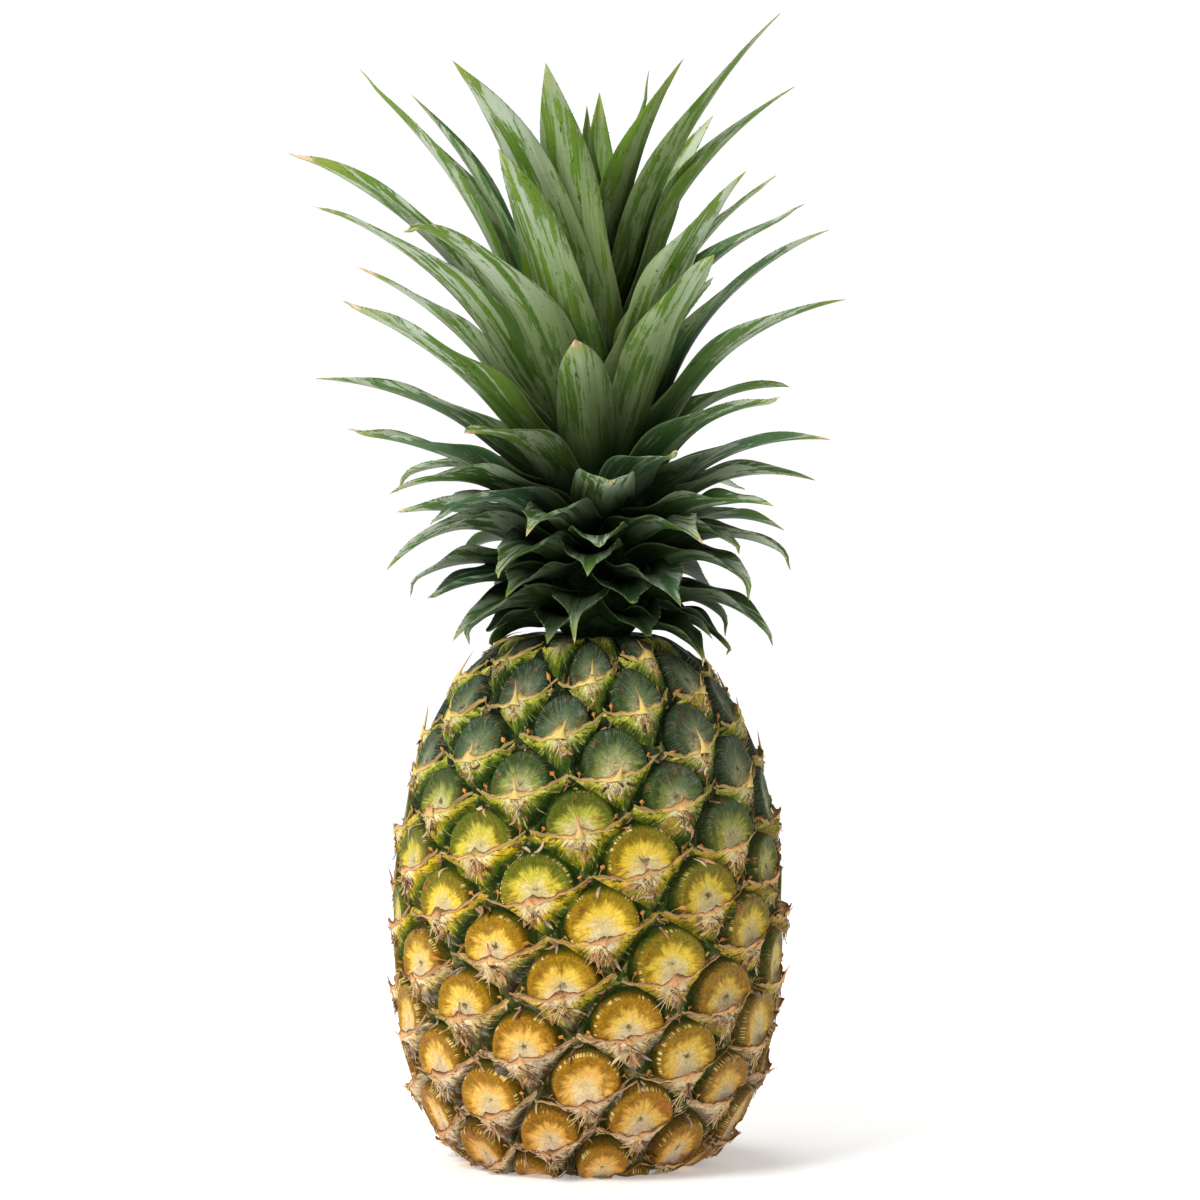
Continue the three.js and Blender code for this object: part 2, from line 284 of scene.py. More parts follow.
TO_RIGHT, TO_LEFT = neighbour_step(8), neighbour_step(13)
TO_SHARES = np.linalg.inv(np.stack([TO_RIGHT, TO_LEFT], axis=1))
print("eyes:", round(LAST - FIRST), "steps to neighbours:", TO_RIGHT.round(1), TO_LEFT.round(1))


# %% [markdown]
# ## Putting a point on the rind
# Everything on the rind is placed in one pair of coordinates: how many neighbour steps to the
# right family and to the left family a point lies from eye 0, plus how far it lifts outwards.
# One function turns them into a place in space, and the rind, the bract edges and the fibres
# all call it, so they can't drift apart.


# %% Rind coordinates to space
def on_rind(right, left, lift, down=0.0):
    at = 8 * right + 13 * left
    away = np.minimum(at - FIRST, LAST - at)
    strength = soft_step(away, 0, 9)
    at = at + down / PITCH * soft_step(away, 6, 14)
    r, z = np.interp(at, count, outline[:, 0]), np.interp(at, count, outline[:, 1])
    normal_r = np.interp(at, count, outline_normal[:, 0])
    normal_z = np.interp(at, count, outline_normal[:, 1])
    lift = lift * strength * np.minimum(1, r / 46)
    r, z = r + normal_r * lift, np.clip(z + normal_z * lift, 0, None)
    azimuth = math.radians(ZERO_AZIMUTH) + (right * TO_RIGHT[0] + left * TO_LEFT[0]) / WIDEST
    shift = LEAN * soft_step(z, 0, 75)
    return np.stack([shift + r * np.sin(azimuth), -r * np.cos(azimuth), z], axis=-1)


# %% [markdown]
# ## The relief of one eye
# Seen close, an eye is a flat round disc with a thick rim and a small pit in the middle. A bract,
# a small leaf that once stood under the flower, covers its lower part: its upper edge sags
# across the disc, and below it the bract narrows down between the two lower discs. Deep grooves
# run round everything. A sculpted eye could be copied round the fruit, but then every eye would
# be alike. A formula lets each one vary in size, place and edge.

# %% Random differences between eyes
EYE_RADIUS = 12.6
DISC_WIDE, DISC_TALL = 1.05, 0.97
EYE_SLOTS = 256
eye_chance = random_table(11, EYE_SLOTS, 8)
eye_offset = (eye_chance[:, :2] - 0.5) * 1.9
eye_size = 0.94 + 0.11 * eye_chance[:, 2]
margin_shift = (eye_chance[:, 3] - 0.5) * 3.2
margin_slope = (eye_chance[:, 7] - 0.5) * 0.12
MARGIN_DROP, MARGIN_SLANT, MARGIN_SAG = 4.8, 0.215, 0.0148


def margin_of(x):
    """How far below the disc's middle the bract's upper edge crosses it."""
    return MARGIN_DROP - MARGIN_SLANT * x - MARGIN_SAG * x * x


def wobble(x, phase, period):
    """An uneven wave, so that no edge looks ruled."""
    return np.sin(x / period + phase) + 0.6 * np.sin(x / (0.43 * period) + 2.1 * phase)


print("margin at the middle and both ends:", [round(margin_of(x), 1) for x in (0, -18, 18)])

# %% [markdown]
# The relief has two parts. One is the disc, with its rim, its pit and the corners outside it.
# The other is the bract, with a crest in the middle, fine folds and, on a few eyes, a round
# button of dried flower. A soft step at the bract's edge goes from one to the other.

# %% The relief formula
GROOVE = 4.0
GROOVE_SPAN = 24.8
BUTTON = (-4.2, 9.6)
BUTTON_RADIUS = 3.5
BUTTON_SHARE = 0.82


def disc_relief(x, y, eye, phase):
    rho = np.hypot(x / DISC_WIDE, y / DISC_TALL) / (EYE_RADIUS * eye_size[eye])
    rho = rho * (1 + 0.014 * wobble(np.arctan2(x, -y), phase, 0.35))
    rim = 0.9 * np.exp(-(((rho - 0.8) / 0.15) ** 2))
    hollow = -0.6 * np.exp(-((rho / 0.5) ** 2)) - 0.6 * np.exp(-((rho / 0.09) ** 2))
    corner = 2.6 * soft_step(rho, 1.05, 1.26) * (0.9 + 0.12 * wobble(x + y, phase, 0.6))
    return rim + hollow - GROOVE * soft_step(rho, 0.86, 1.05) ** 1.2 + corner


def bract_crest(x):
    """How far the bract stands out along its upper edge."""
    return 2.0 * np.exp(-((x / 5) ** 2)) + 0.3


def bract_relief(x, y, below, eye, phase):
    shares = np.stack([x, y], axis=-1) @ TO_SHARES.T
    from_groove = np.minimum(0.5 - shares[..., 0], 0.5 - shares[..., 1]) * GROOVE_SPAN
    folds = 0.2 * wobble(np.arctan2(x, np.maximum(below, 0) + 2.5) * 5, phase, 0.42)
    body = bract_crest(x) - 0.15 * np.maximum(below, 0) + folds
    button = np.hypot(x - BUTTON[0], y - BUTTON[1])
    swell = 1.1 * soft_step(BUTTON_RADIUS - button, 0, 0.7)
    swell = swell + 0.5 * np.exp(-(((button - 2.9) / 0.4) ** 2))
    body = body + np.where(eye_chance[eye, 6] > BUTTON_SHARE, swell, 0)
    return body - (GROOVE + 0.8) * np.exp(-np.maximum(from_groove, 0) / 1.1)


def relief(x, y, eye):
    """Lift of the rind in millimetres at a place x right of and y below the middle of an eye."""
    phase = eye_chance[eye, 4] * 40
    margin = margin_of(x) + margin_shift[eye] + margin_slope[eye] * x
    below = y - margin + 0.3 * wobble(x, phase, 1.9)
    disc = disc_relief(x, y, eye, phase)
    bract = bract_relief(x, y, below, eye, phase)
    return disc + (bract - disc) * soft_step(below, -0.5, 0.25)


# %% [markdown]
# ## The rind as one closed grid
# The grid runs along the two spiral families, so the grooves between eyes fall exactly on grid
# lines. Going 13 steps one way and 8 back the other comes round to the start, which closes the
# surface without a seam. Past the ends, the points gather in one point at the top and the foot.

# %% Build the rind's points and faces
FINE = 26
AROUND = 13 * FINE


def share_of(index):
    return index / FINE - 0.5


lowest_j = math.floor((FIRST + 6.5 - 8 * 13.5) / 13 * FINE) - 2
highest_j = math.ceil((LAST + 10.5) / 13 * FINE) + 2
grid_i, grid_j = np.meshgrid(np.arange(AROUND), np.arange(lowest_j, highest_j + 1 + 8 * FINE), indexing="ij")
right, left = share_of(grid_i), share_of(grid_j)
grid_count = 8 * right + 13 * left
inside = (grid_count > FIRST + 0.3) & (grid_count < LAST - 0.3)
point_index = np.where(grid_count <= FIRST + 0.3, 0, 1)
point_index[inside] = 2 + np.arange(inside.sum())
right, left = right[inside], left[inside]
eye_i, eye_j = np.floor(right + 0.5), np.floor(left + 0.5)
eye = (8 * eye_i + 13 * eye_j).astype(int) % EYE_SLOTS
local = np.stack([right - eye_i, left - eye_j], axis=1) @ np.stack([TO_RIGHT, TO_LEFT]) - eye_offset[eye]
lift = relief(local[:, 0], local[:, 1], eye)
rind_points = np.vstack([[(LEAN, 0, FRUIT_TOP), (0, 0, 0)], on_rind(right, left, lift)])
wrapped = np.roll(point_index[0], -8 * FINE)
wrapped[-8 * FINE:] = 1
point_index = np.vstack([point_index, wrapped])
print("rind points:", len(rind_points), "spread of lift:", lift.min().round(1), lift.max().round(1))

# %% [markdown]
# ## Telling the material where it is on each eye
# The material needs to know, at every spot, how far it lies from the middle of its own eye. A UV
# layer stores two numbers for each face corner, and two faces that share a point may store
# different ones. That is what the groove between two eyes needs, so one layer holds the place on
# the eye, another two random numbers of that eye, and a third how its bract's edge is moved.

# %% Faces and their UV layers
PLACE_SPAN = 50.0
corners = np.stack([
    point_index[:-1, :-1], point_index[:-1, 1:], point_index[1:, 1:], point_index[1:, :-1],
], axis=-1).reshape(-1, 4)
cell_i = np.arange(AROUND)[:, None] + np.zeros(point_index.shape[1] - 1)
cell_j = np.arange(lowest_j, lowest_j + point_index.shape[1] - 1) + np.zeros(AROUND)[:, None]
mid_i, mid_j = share_of(cell_i.ravel() + 0.5), share_of(cell_j.ravel() + 0.5)
face_eye_i, face_eye_j = np.floor(mid_i + 0.5), np.floor(mid_j + 0.5)
face_eye = (8 * face_eye_i + 13 * face_eye_j).astype(int) % EYE_SLOTS
corner_steps = np.array([(0, 0), (0, 1), (1, 1), (1, 0)]) - 0.5
corner_shares = np.stack([mid_i - face_eye_i, mid_j - face_eye_j], axis=1)[:, None] + corner_steps / FINE
corner_local = corner_shares @ np.stack([TO_RIGHT, TO_LEFT]) - eye_offset[face_eye][:, None]
corner_local /= eye_size[face_eye][:, None, None]

rind_faces, kept = [], []
for number, face in enumerate(corners.tolist()):
    distinct = [k for k in range(4) if face[k] not in face[:k]]
    if len(distinct) > 2 and not (0 in face and 1 in face):
        rind_faces.append([face[k] for k in distinct])
        kept.extend((number, k) for k in distinct)
kept = np.array(kept)
rind_place = corner_local[kept[:, 0], kept[:, 1]] / PLACE_SPAN + 0.5
kept_eye = face_eye[kept[:, 0]]
rind_seed = eye_chance[kept_eye, 5:7]
rind_margin = np.stack([margin_shift[kept_eye], margin_slope[kept_eye]], axis=1)
print("rind faces:", len(rind_faces))

# %% [markdown]
# ## The rind's colours
# The same eye is ochre at the foot of the fruit, golden at the middle and dark green with a
# blue-grey bloom near the crown, because the fruit ripens from the foot up. Inside one eye the
# rim is darker and the middle pale, with fine streaks that run out from the pit. Below the edge
# the bract fans out in pale fibres. All of it is computed from the place on the eye and the
# height, and nothing is painted by hand.

# %% Numbers that the rind material works with
rind = Recipe("pineapple_rind")
u, v = rind.uv("place")
x = rind.times(rind.minus(u, 0.5), PLACE_SPAN)
y = rind.times(rind.minus(v, 0.5), PLACE_SPAN)
seed, second_seed = rind.uv("seed")
seed_shift = rind.times(seed, 60.0)
rho = rind.over(rind.length_of(rind.over(x, DISC_WIDE), rind.over(y, DISC_TALL)), EYE_RADIUS)
angle = rind.math("ARCTAN2", x, rind.times(y, -1.0))
patchy = rind.noise(rind.place(), 14.0, 2.0)
# Painted shade: a share that grows towards the side away from the key light. It makes that side a little
# greener, more purple-grey and greyer.
shaded_side_paint = rind.step(rind.apart(rind.place())[0], 0.005, 0.065)
ripeness = rind.over(rind.height(), FRUIT_TOP)
ripeness = rind.sum_of(ripeness, (patchy, 0.4, 0.5), (seed, 0.14, 0.5), (shaded_side_paint, 0.05, 0.0))

# %% [markdown]
# Streaks are noise drawn out along lines that run away from a middle. To make them, the angle
# and the distance from that middle are given to the noise as if they were x and y, and the
# angle is stretched far more than the distance.


# %% Streaks, blotches and grit
def streaks(angle, distance, around, outward, shift, detail=3.0, roughness=0.55):
    place = rind.point(rind.times(angle, around), rind.times(distance, outward), shift)
    return rind.noise(place, 1.0, detail, roughness)


wide_streak = streaks(angle, rho, 6.0, 1.2, seed_shift)
fine_streak = streaks(angle, rho, 30.0, 2.2, seed_shift)
blotch = rind.noise(rind.place(), 260.0, 4.0, 0.6)
grit = rind.noise(rind.place(), 1100.0, 3.0, 0.6)
print("nodes so far:", len(rind.tree.nodes))

# %% [markdown]
# The disc has a thick rim with a greener band outside it, which also carries painted shade,
# dark where the rim curves down into the groove. Its pale middle reaches lower than it does high,
# so the pale zone is measured from a point under the pit, and the streaks break up its border.
# Each colour runs from the ripe foot of the fruit to its green shoulder.

# %% Rim and pale middle of the disc
PALE_DROP, PALE_RADIUS = 2.2, 8.2
rim_colour = rind.ramp(ripeness, [
    (0.0, (0.29, 0.125, 0.004)), (0.3, (0.34, 0.155, 0.003)), (0.48, (0.29, 0.17, 0.002)),
    (0.6, (0.12, 0.13, 0.003)), (0.76, (0.028, 0.058, 0.006)), (1.0, (0.012, 0.028, 0.008)),
])
# Painted shade: the band outside the rim is coloured darker where the rim curves down into the groove.
outer_band_and_shade = rind.ramp(ripeness, [
    (0.0, (0.10, 0.05, 0.003)), (0.35, (0.07, 0.055, 0.002)),
    (0.55, (0.022, 0.048, 0.002)), (0.9, (0.005, 0.018, 0.004)),
])
middle_colour = rind.ramp(ripeness, [
    (0.0, (0.82, 0.42, 0.09)), (0.3, (0.92, 0.57, 0.10)), (0.52, (0.88, 0.62, 0.05)),
    (0.66, (0.48, 0.47, 0.06)), (0.8, (0.13, 0.19, 0.06)), (1.0, (0.08, 0.12, 0.06)),
])
pale_zone = rind.over(rind.length_of(x, rind.minus(y, PALE_DROP)), PALE_RADIUS)
pale_zone = rind.sum_of(
    pale_zone, (wide_streak, 0.8, 0.5), (fine_streak, 0.65, 0.5), (blotch, 0.8, 0.5), (grit, 0.6, 0.5),
)
past_rim = rind.step(rind.sum_of(rho, (fine_streak, 0.12, 0.5)), 0.8, 0.98)
disc_colour = rind.mix(past_rim, rim_colour, outer_band_and_shade)
disc_colour = rind.mix(rind.step(fine_streak, 0.52, 0.7, 0.0, 0.45), disc_colour, rim_colour)
disc_colour = rind.mix(rind.step(pale_zone, 1.22, 0.8), disc_colour, middle_colour)
white_heart = rind.step(pale_zone, 0.8, 0.35, 0.0, 0.65)
white_heart = rind.times(white_heart, rind.step(ripeness, 1.0, 0.55, 0.3, 1.0))
disc_colour = rind.mix(white_heart, disc_colour, (0.95, 0.80, 0.46))

# %% [markdown]
# Small marks make a disc look grown: dark streaks, brown clouds, the pit, an arc of pale beads
# inside the rim, a few rusty scars and, near the crown, a blue-grey bloom. Each mark is a mask
# made of soft steps, multiplied together, and one mix.

# %% Marks on the disc
disc_colour = rind.mix(rind.step(fine_streak, 0.44, 0.3, 0.0, 0.6), disc_colour, (0.13, 0.085, 0.012))
brown_cloud = rind.times(rind.step(blotch, 0.56, 0.68, 0.0, 0.55), rind.step(rho, 0.25, 0.5))
disc_colour = rind.mix(brown_cloud, disc_colour, (0.23, 0.10, 0.02))
pit = rind.sum_of(rho, (wide_streak, 0.3, 0.5), (grit, 0.16, 0.5), (second_seed, -0.1, 0.6))
disc_colour = rind.mix(rind.step(pit, 0.085, 0.03, 0.0, 0.85), disc_colour, (0.09, 0.045, 0.018))
beads = rind.noise(rind.point(rind.times(angle, 22.0), 0.0, seed_shift), 1.0, 1.0)
bead_arc = rind.noise(rind.point(rind.times(angle, 1.6), 3.0, seed_shift), 1.0, 0.0)
bead_band = rind.times(rind.step(rho, 0.84, 0.87), rind.step(rho, 0.94, 0.9))
bead_band = rind.times(bead_band, rind.step(beads, 0.5, 0.6))
bead_band = rind.times(bead_band, rind.step(bead_arc, 0.46, 0.56))
bead_band = rind.times(bead_band, rind.step(ripeness, 0.8, 0.5, 0.0, 0.9))
disc_colour = rind.mix(bead_band, disc_colour, (0.88, 0.68, 0.24))
scar = rind.noise(rind.place(), 130.0, 3.0)
scar_here = rind.times(rind.step(scar, 0.66, 0.72, 0.0, 0.8), rind.step(rho, 0.4, 0.7))
scar_here = rind.times(scar_here, rind.step(ripeness, 0.75, 0.55))
disc_colour = rind.mix(scar_here, disc_colour, (0.42, 0.11, 0.03))
bloom = rind.times(rind.step(ripeness, 0.62, 0.9, 0.0, 0.55), rind.step(fine_streak, 0.5, 0.62))
disc_colour = rind.mix(bloom, disc_colour, (0.17, 0.22, 0.18))

# %% [markdown]
# Outside the disc lies the groove, painted nearly black as shade, and, beyond it, the corners
# between eyes, which are mottled with dry brown skin.

# %% Grooves and corners
# Painted shade: the groove between the eyes is coloured nearly black.
painted_groove_shade = rind.ramp(ripeness, [
    (0.0, (0.045, 0.026, 0.003)), (0.3, (0.026, 0.046, 0.002)),
    (0.6, (0.014, 0.038, 0.002)), (1.0, (0.005, 0.015, 0.003)),
])
corner_colour = rind.ramp(ripeness, [
    (0.0, (0.085, 0.06, 0.016)), (0.3, (0.045, 0.064, 0.006)),
    (0.55, (0.028, 0.06, 0.003)), (1.0, (0.007, 0.021, 0.003)),
])
dry_corner = rind.mix(0.55, corner_colour, (0.44, 0.34, 0.14))
corner_colour = rind.mix(rind.step(blotch, 0.52, 0.62, 0.0, 0.7), corner_colour, dry_corner)
corner_colour = rind.mix(rind.step(blotch, 0.46, 0.36, 0.0, 0.8), corner_colour, (0.035, 0.025, 0.008))
disc_colour = rind.mix(rind.step(rho, 0.97, 1.02), disc_colour, painted_groove_shade)
past_groove = rind.step(rind.sum_of(rho, (blotch, 0.3, 0.5)), 1.08, 1.18)
disc_colour = rind.mix(past_groove, disc_colour, corner_colour)

# %% [markdown]
# Under its edge a bract is pale where it is thick, in the middle and close along the edge, and
# turns green towards its lower borders. Fibres fan out from the middle of the edge: pale ones,
# brown ones and, low on the fruit, some with a purple-grey cast. The formula of the edge is the
# one that shaped the rind, so colour and relief meet.

# %% Distances and fibres on the bract
x_squared = rind.times(x, x)
sagging = rind.plus(rind.times(x, MARGIN_SLANT), rind.times(x_squared, MARGIN_SAG))
edge_shift, edge_slope = rind.uv("margin")
edge_shift = rind.plus(edge_shift, rind.times(edge_slope, x))
below = rind.minus(rind.minus(y, rind.minus(MARGIN_DROP, sagging)), edge_shift)
on_bract = rind.step(below, -0.3, 0.1)
fan_y = rind.plus(below, 1.5)
fan_distance = rind.length_of(x, fan_y)
fan_angle = rind.math("ARCTAN2", x, rind.plus(fan_y, 1.0))
fan_fibre = streaks(fan_angle, fan_distance, 15.0, 0.16, seed_shift, 4.0, 0.65)
coarse_fan = streaks(fan_angle, fan_distance, 4.0, 0.16, seed_shift, 3.0)
dark_fan = streaks(fan_angle, fan_distance, 11.0, 0.3, rind.plus(seed_shift, 9.0), 4.0, 0.65)
middle_reach = rind.math("EXPONENT", rind.times(x_squared, -0.035))
reach = rind.plus(3.4, rind.times(middle_reach, 6.5))
far = rind.over(rind.math("MAXIMUM", below, 0.0), reach)
far = rind.times(rind.sum_of(far, (coarse_fan, 1.1, 0.5), (blotch, 0.6, 0.5)), 0.6)

# %% [markdown]
# Three ramps give the bract's colours from its edge to its lower border: one for the foot of
# the fruit, one for the middle and one for the shoulder. The ripeness goes from one to the next.

# %% Colours of the bract by ripeness
low_bract = rind.ramp(far, [
    (0.0, (0.78, 0.42, 0.20)), (0.25, (0.78, 0.60, 0.34)), (0.5, (0.50, 0.37, 0.18)),
    (0.75, (0.13, 0.10, 0.03)), (1.0, (0.028, 0.034, 0.008)),
])
mid_bract = rind.ramp(far, [
    (0.0, (0.78, 0.53, 0.08)), (0.25, (0.70, 0.44, 0.015)), (0.5, (0.33, 0.27, 0.006)),
    (0.75, (0.075, 0.125, 0.003)), (1.0, (0.014, 0.042, 0.002)),
])
top_bract = rind.ramp(far, [
    (0.0, (0.70, 0.60, 0.12)), (0.2, (0.44, 0.44, 0.04)), (0.42, (0.13, 0.18, 0.012)),
    (0.7, (0.025, 0.06, 0.005)), (1.0, (0.006, 0.020, 0.003)),
])
bract_colour = rind.mix(rind.step(ripeness, 0.18, 0.42), low_bract, mid_bract)
bract_colour = rind.mix(rind.step(ripeness, 0.52, 0.78), bract_colour, top_bract)

# %% [markdown]
# Over that lie the fibres, and a pale burst where the bract's middle has worn through.

# %% Fibres painted on the bract
purple = rind.times(rind.step(coarse_fan, 0.46, 0.62, 0.0, 0.6), rind.step(ripeness, 0.52, 0.2))
# Painted shade: the side away from the light is painted more purple-grey.
purple = rind.times(purple, rind.plus(0.8, rind.times(shaded_side_paint, 0.6)))
bract_colour = rind.mix(purple, bract_colour, (0.36, 0.29, 0.27))
pale_line = rind.ramp(ripeness, [
    (0.1, (0.78, 0.60, 0.38)), (0.45, (0.80, 0.66, 0.22)), (0.8, (0.62, 0.60, 0.18)),
])
bract_colour = rind.mix(rind.step(fan_fibre, 0.56, 0.64, 0.0, 0.6), bract_colour, pale_line)
dark_line = rind.ramp(ripeness, [(0.3, (0.10, 0.04, 0.008)), (0.65, (0.03, 0.05, 0.003))])
bract_colour = rind.mix(rind.step(dark_fan, 0.52, 0.6, 0.0, 0.85), bract_colour, dark_line)
bract_colour = rind.mix(rind.step(fan_fibre, 0.42, 0.34, 0.0, 0.6), bract_colour, (0.03, 0.03, 0.006))
burst = rind.length_of(rind.times(x, 0.75), rind.minus(below, 0.6))
burst = rind.sum_of(rind.over(burst, 4.4), (fan_fibre, 2.4, 0.5), (coarse_fan, 1.0, 0.5))
burst_colour = rind.ramp(ripeness, [
    (0.0, (0.86, 0.62, 0.42)), (0.4, (0.94, 0.80, 0.50)),
    (0.7, (0.88, 0.78, 0.42)), (1.0, (0.55, 0.50, 0.24)),
])

# %% [markdown]
# Disc and bract are joined at the edge. The button gets its own colour, the side turned away
# from the lamp gets painted shade and is a little greyer, and a fine grain laid over everything
# takes off the last smoothness.

# %% Join disc and bract
skin_colour = rind.mix(on_bract, disc_colour, bract_colour)
skin_colour = rind.mix(rind.step(burst, 1.1, 0.5, 0.0, 0.9), skin_colour, burst_colour)
button_distance = rind.length_of(rind.minus(x, BUTTON[0]), rind.minus(y, BUTTON[1]))
button_here = rind.step(second_seed, BUTTON_SHARE, BUTTON_SHARE + 0.005)
button_here = rind.times(button_here, rind.step(button_distance, BUTTON_RADIUS, 3.1))
button_rim = rind.step(rind.sum_of(button_distance, (blotch, 1.5, 0.5)), 2.2, 2.9)
button_colour = rind.mix(button_rim, (0.33, 0.27, 0.03), (0.42, 0.22, 0.08))
skin_colour = rind.mix(button_here, skin_colour, button_colour)
# Painted shade: the side away from the light is greyed.
skin_colour = rind.mix(rind.times(shaded_side_paint, 0.22), skin_colour, (0.10, 0.10, 0.055))
grain_grey = rind.ramp(grit, [(0.36, (0.22, 0.22, 0.22)), (0.64, (0.80, 0.80, 0.80))])
skin_colour = rind.mix(0.55, skin_colour, grain_grey, "OVERLAY")

# %% [markdown]
# The same streaks that colour the rind also raise it a little through the bump input, so that
# paint and relief agree. The disc is waxier than the bracts and gets a lower roughness.

# %% Finish the rind and build it
disc_grain = rind.plus(rind.times(fine_streak, 0.8), rind.times(wide_streak, 0.3))
fan_grain = rind.plus(rind.times(fan_fibre, 1.6), rind.times(dark_fan, -1.0))
grain = rind.plus(rind.times(disc_grain, rind.minus(1.0, on_bract)), rind.times(fan_grain, on_bract))
grain = rind.plus(grain, rind.times(grit, 0.35))
roughness = rind.plus(rind.step(blotch, 0.3, 0.7, 0.36, 0.52), rind.times(on_bract, 0.15))
rind.set(Base_Color=skin_colour, Roughness=roughness, Normal=rind.bump(grain, 0.7, 0.0012))
rind.set(Specular_IOR_Level=0.12)
rind_layers = {"place": rind_place, "seed": rind_seed, "margin": rind_margin}
fruit_rind = make_piece("fruit_rind", rind_points, rind_faces, rind_layers, rind.material)
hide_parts("fruit")

# %% [markdown]
# ## Thin dry sheets
# The bract edges, spikes and fibres are all thin dry strips. A strip is a grid of points, and a
# paper-thin solid is that grid, a second one just behind it, and a band that joins their rims.
# Blender's Solidify modifier does the same, but here thousands of strips go into one mesh, and
# doing them together in arrays is quicker and keeps each strip's own UV numbers.


# %% Many closed strips at once
def strip_faces(rows, columns):
    """Faces of one strip: a front grid, a back grid and the rim between them."""
    at = np.arange(rows * columns).reshape(rows, columns)
    front = np.stack([at[:-1, :-1], at[:-1, 1:], at[1:, 1:], at[1:, :-1]], axis=-1).reshape(-1, 4)
    back = front[:, ::-1] + rows * columns
    loop = np.concatenate([at[0, :-1], at[:-1, -1], at[-1, :0:-1], at[:0:-1, 0]])
    after = np.roll(loop, -1)
    rim = np.stack([after, loop, loop + rows * columns, after + rows * columns], axis=-1)
    return np.vstack([front, back, rim])


def strips_piece(name, front, back, uv_layers, material):
    """front and back are arrays [strip, row, column, xyz], and each UV layer [strip, row, column, 2]."""
    strips, rows, columns, _ = front.shape
    faces = strip_faces(rows, columns)
    per_strip = 2 * rows * columns
    points = np.concatenate([front.reshape(strips, -1, 3), back.reshape(strips, -1, 3)], axis=1)
    all_faces = (faces[None] + per_strip * np.arange(strips)[:, None, None]).reshape(-1, 4)
    layers = {}
    for layer, values in uv_layers.items():
        flat = np.broadcast_to(values, (strips, rows, columns, 2)).reshape(strips, -1, 2)
        both = np.concatenate([flat, flat], axis=1).reshape(-1, 2)
        layers[layer] = both[all_faces.ravel()]
    return make_piece(name, points.reshape(-1, 3), all_faces.tolist(), layers, material)


# %% [markdown]
# ## Which eyes there are
# The bracts and fibres are made eye by eye. Eye n sits n golden-angle turns round and n pitches
# down, but in rind coordinates it needs two whole numbers i and j with 8 i + 13 j = n. Many
# pairs fit. Any of them gives the same place, because the grid closes on itself.

# %% List the eyes
first_eye, last_eye = math.ceil(FIRST + 7), math.floor(LAST - 9)
eye_numbers = np.arange(first_eye, last_eye + 1)
whole_j = (eye_numbers * 5) % 8
whole_i = (eye_numbers - 13 * whole_j) // 8
assert np.all(8 * whole_i + 13 * whole_j == eye_numbers)
eye_key = eye_numbers % EYE_SLOTS
eye_height = np.interp(eye_numbers, count, outline[:, 1])
EYES = len(eye_numbers)
print("eyes with bracts:", EYES)


def near_eye(x, y, lift, which=slice(None)):
    """Points at x right of and y below the middles of eyes. The first axis of x counts the eyes."""
    extra = (1,) * (np.ndim(x) - 1)
    offset = eye_offset[eye_key[which]].reshape(-1, *extra, 2)
    shares = (np.stack([x, y], axis=-1) + offset) @ TO_SHARES.T
    base_i = whole_i[which].reshape(-1, *extra)
    base_j = whole_j[which].reshape(-1, *extra)
    return on_rind(base_i + shares[..., 0], base_j + shares[..., 1], lift)


# %% [markdown]
# ## Papery bract edges
# The upper edge of each bract has dried to a thin pinkish-tan band that sags across the disc,
# with a ragged rim and a peak in the middle. A displaced rind can't hold an edge this thin, so
# it is a strip of its own: its lower row is sunk into the bract and its upper row stands free.

# %% Where the strips run
EDGE_COLUMNS = 45
EDGE_ROWS = 4
EDGE_END = 17.6
STRIP_THICKNESS = 0.28
rise = np.linspace(0, 1, EDGE_ROWS)[None, :, None]
edge_x = np.broadcast_to(np.linspace(-EDGE_END, EDGE_END, EDGE_COLUMNS), (EYES, EDGE_ROWS, EDGE_COLUMNS))


def per_eye(values):
    """One value for each eye, shaped to go with [eye, row, column] arrays."""
    return values[eye_key][:, None, None]


phase = per_eye(eye_chance[:, 4] * 40)
margin_here = margin_of(edge_x) + per_eye(margin_shift) + per_eye(margin_slope) * edge_x
margin_here = margin_here - 0.3 * wobble(edge_x, phase, 1.9)
ragged = 0.5 + 0.32 * wobble(edge_x, phase * 3, 1.3) + 0.25 * wobble(edge_x, phase * 5, 0.45)
ragged = np.clip(ragged, 0.05, 2)
peak = (1.2 + 1.8 * per_eye(eye_chance[:, 5])) * np.exp(-np.abs(edge_x / 2.6) ** 1.4)
ends = soft_step(EDGE_END - np.abs(edge_x), 0, 6)
band = 0.15 + 0.5 * ragged * (0.25 + 0.75 * ends) + peak
edge_y = margin_here + 0.55 - (band + 0.55) * rise

# %% [markdown]
# The strip curls away from the disc by an amount of its own on each eye, and here and there it
# is tucked under the skin, so that the band looks broken.

# %% How far the strips stand out
curl = 0.3 + 0.9 * per_eye(eye_chance[:, 6]) + 0.35 * wobble(edge_x, phase * 2, 2.4)
tucked = 0.5 * soft_step(wobble(edge_x, phase * 7, 3.1), 0.4, 1.0)
edge_lift = bract_crest(edge_x) + 0.2 - tucked + curl * rise**1.5 * (0.35 + 0.65 * ends)
edge_front = near_eye(edge_x, edge_y, edge_lift)
edge_back = near_eye(edge_x, edge_y, edge_lift - STRIP_THICKNESS)
edge_uv = np.stack(np.broadcast_arrays(edge_x / 40 + 0.5, rise * np.ones(edge_x.shape)), axis=-1)
edge_seed = np.broadcast_to(eye_chance[eye_key][:, None, None, 5:7], edge_uv.shape)
print("bands from", band.min().round(1), "to", band.max().round(1), "mm tall")

# %% [markdown]
# Dry plant skin is dull. Its colour runs from pink where it is still alive, at the root, to
# cream and then brown at the very rim, and it fades towards both ends of the strip. Higher up
# on the fruit it is greener.

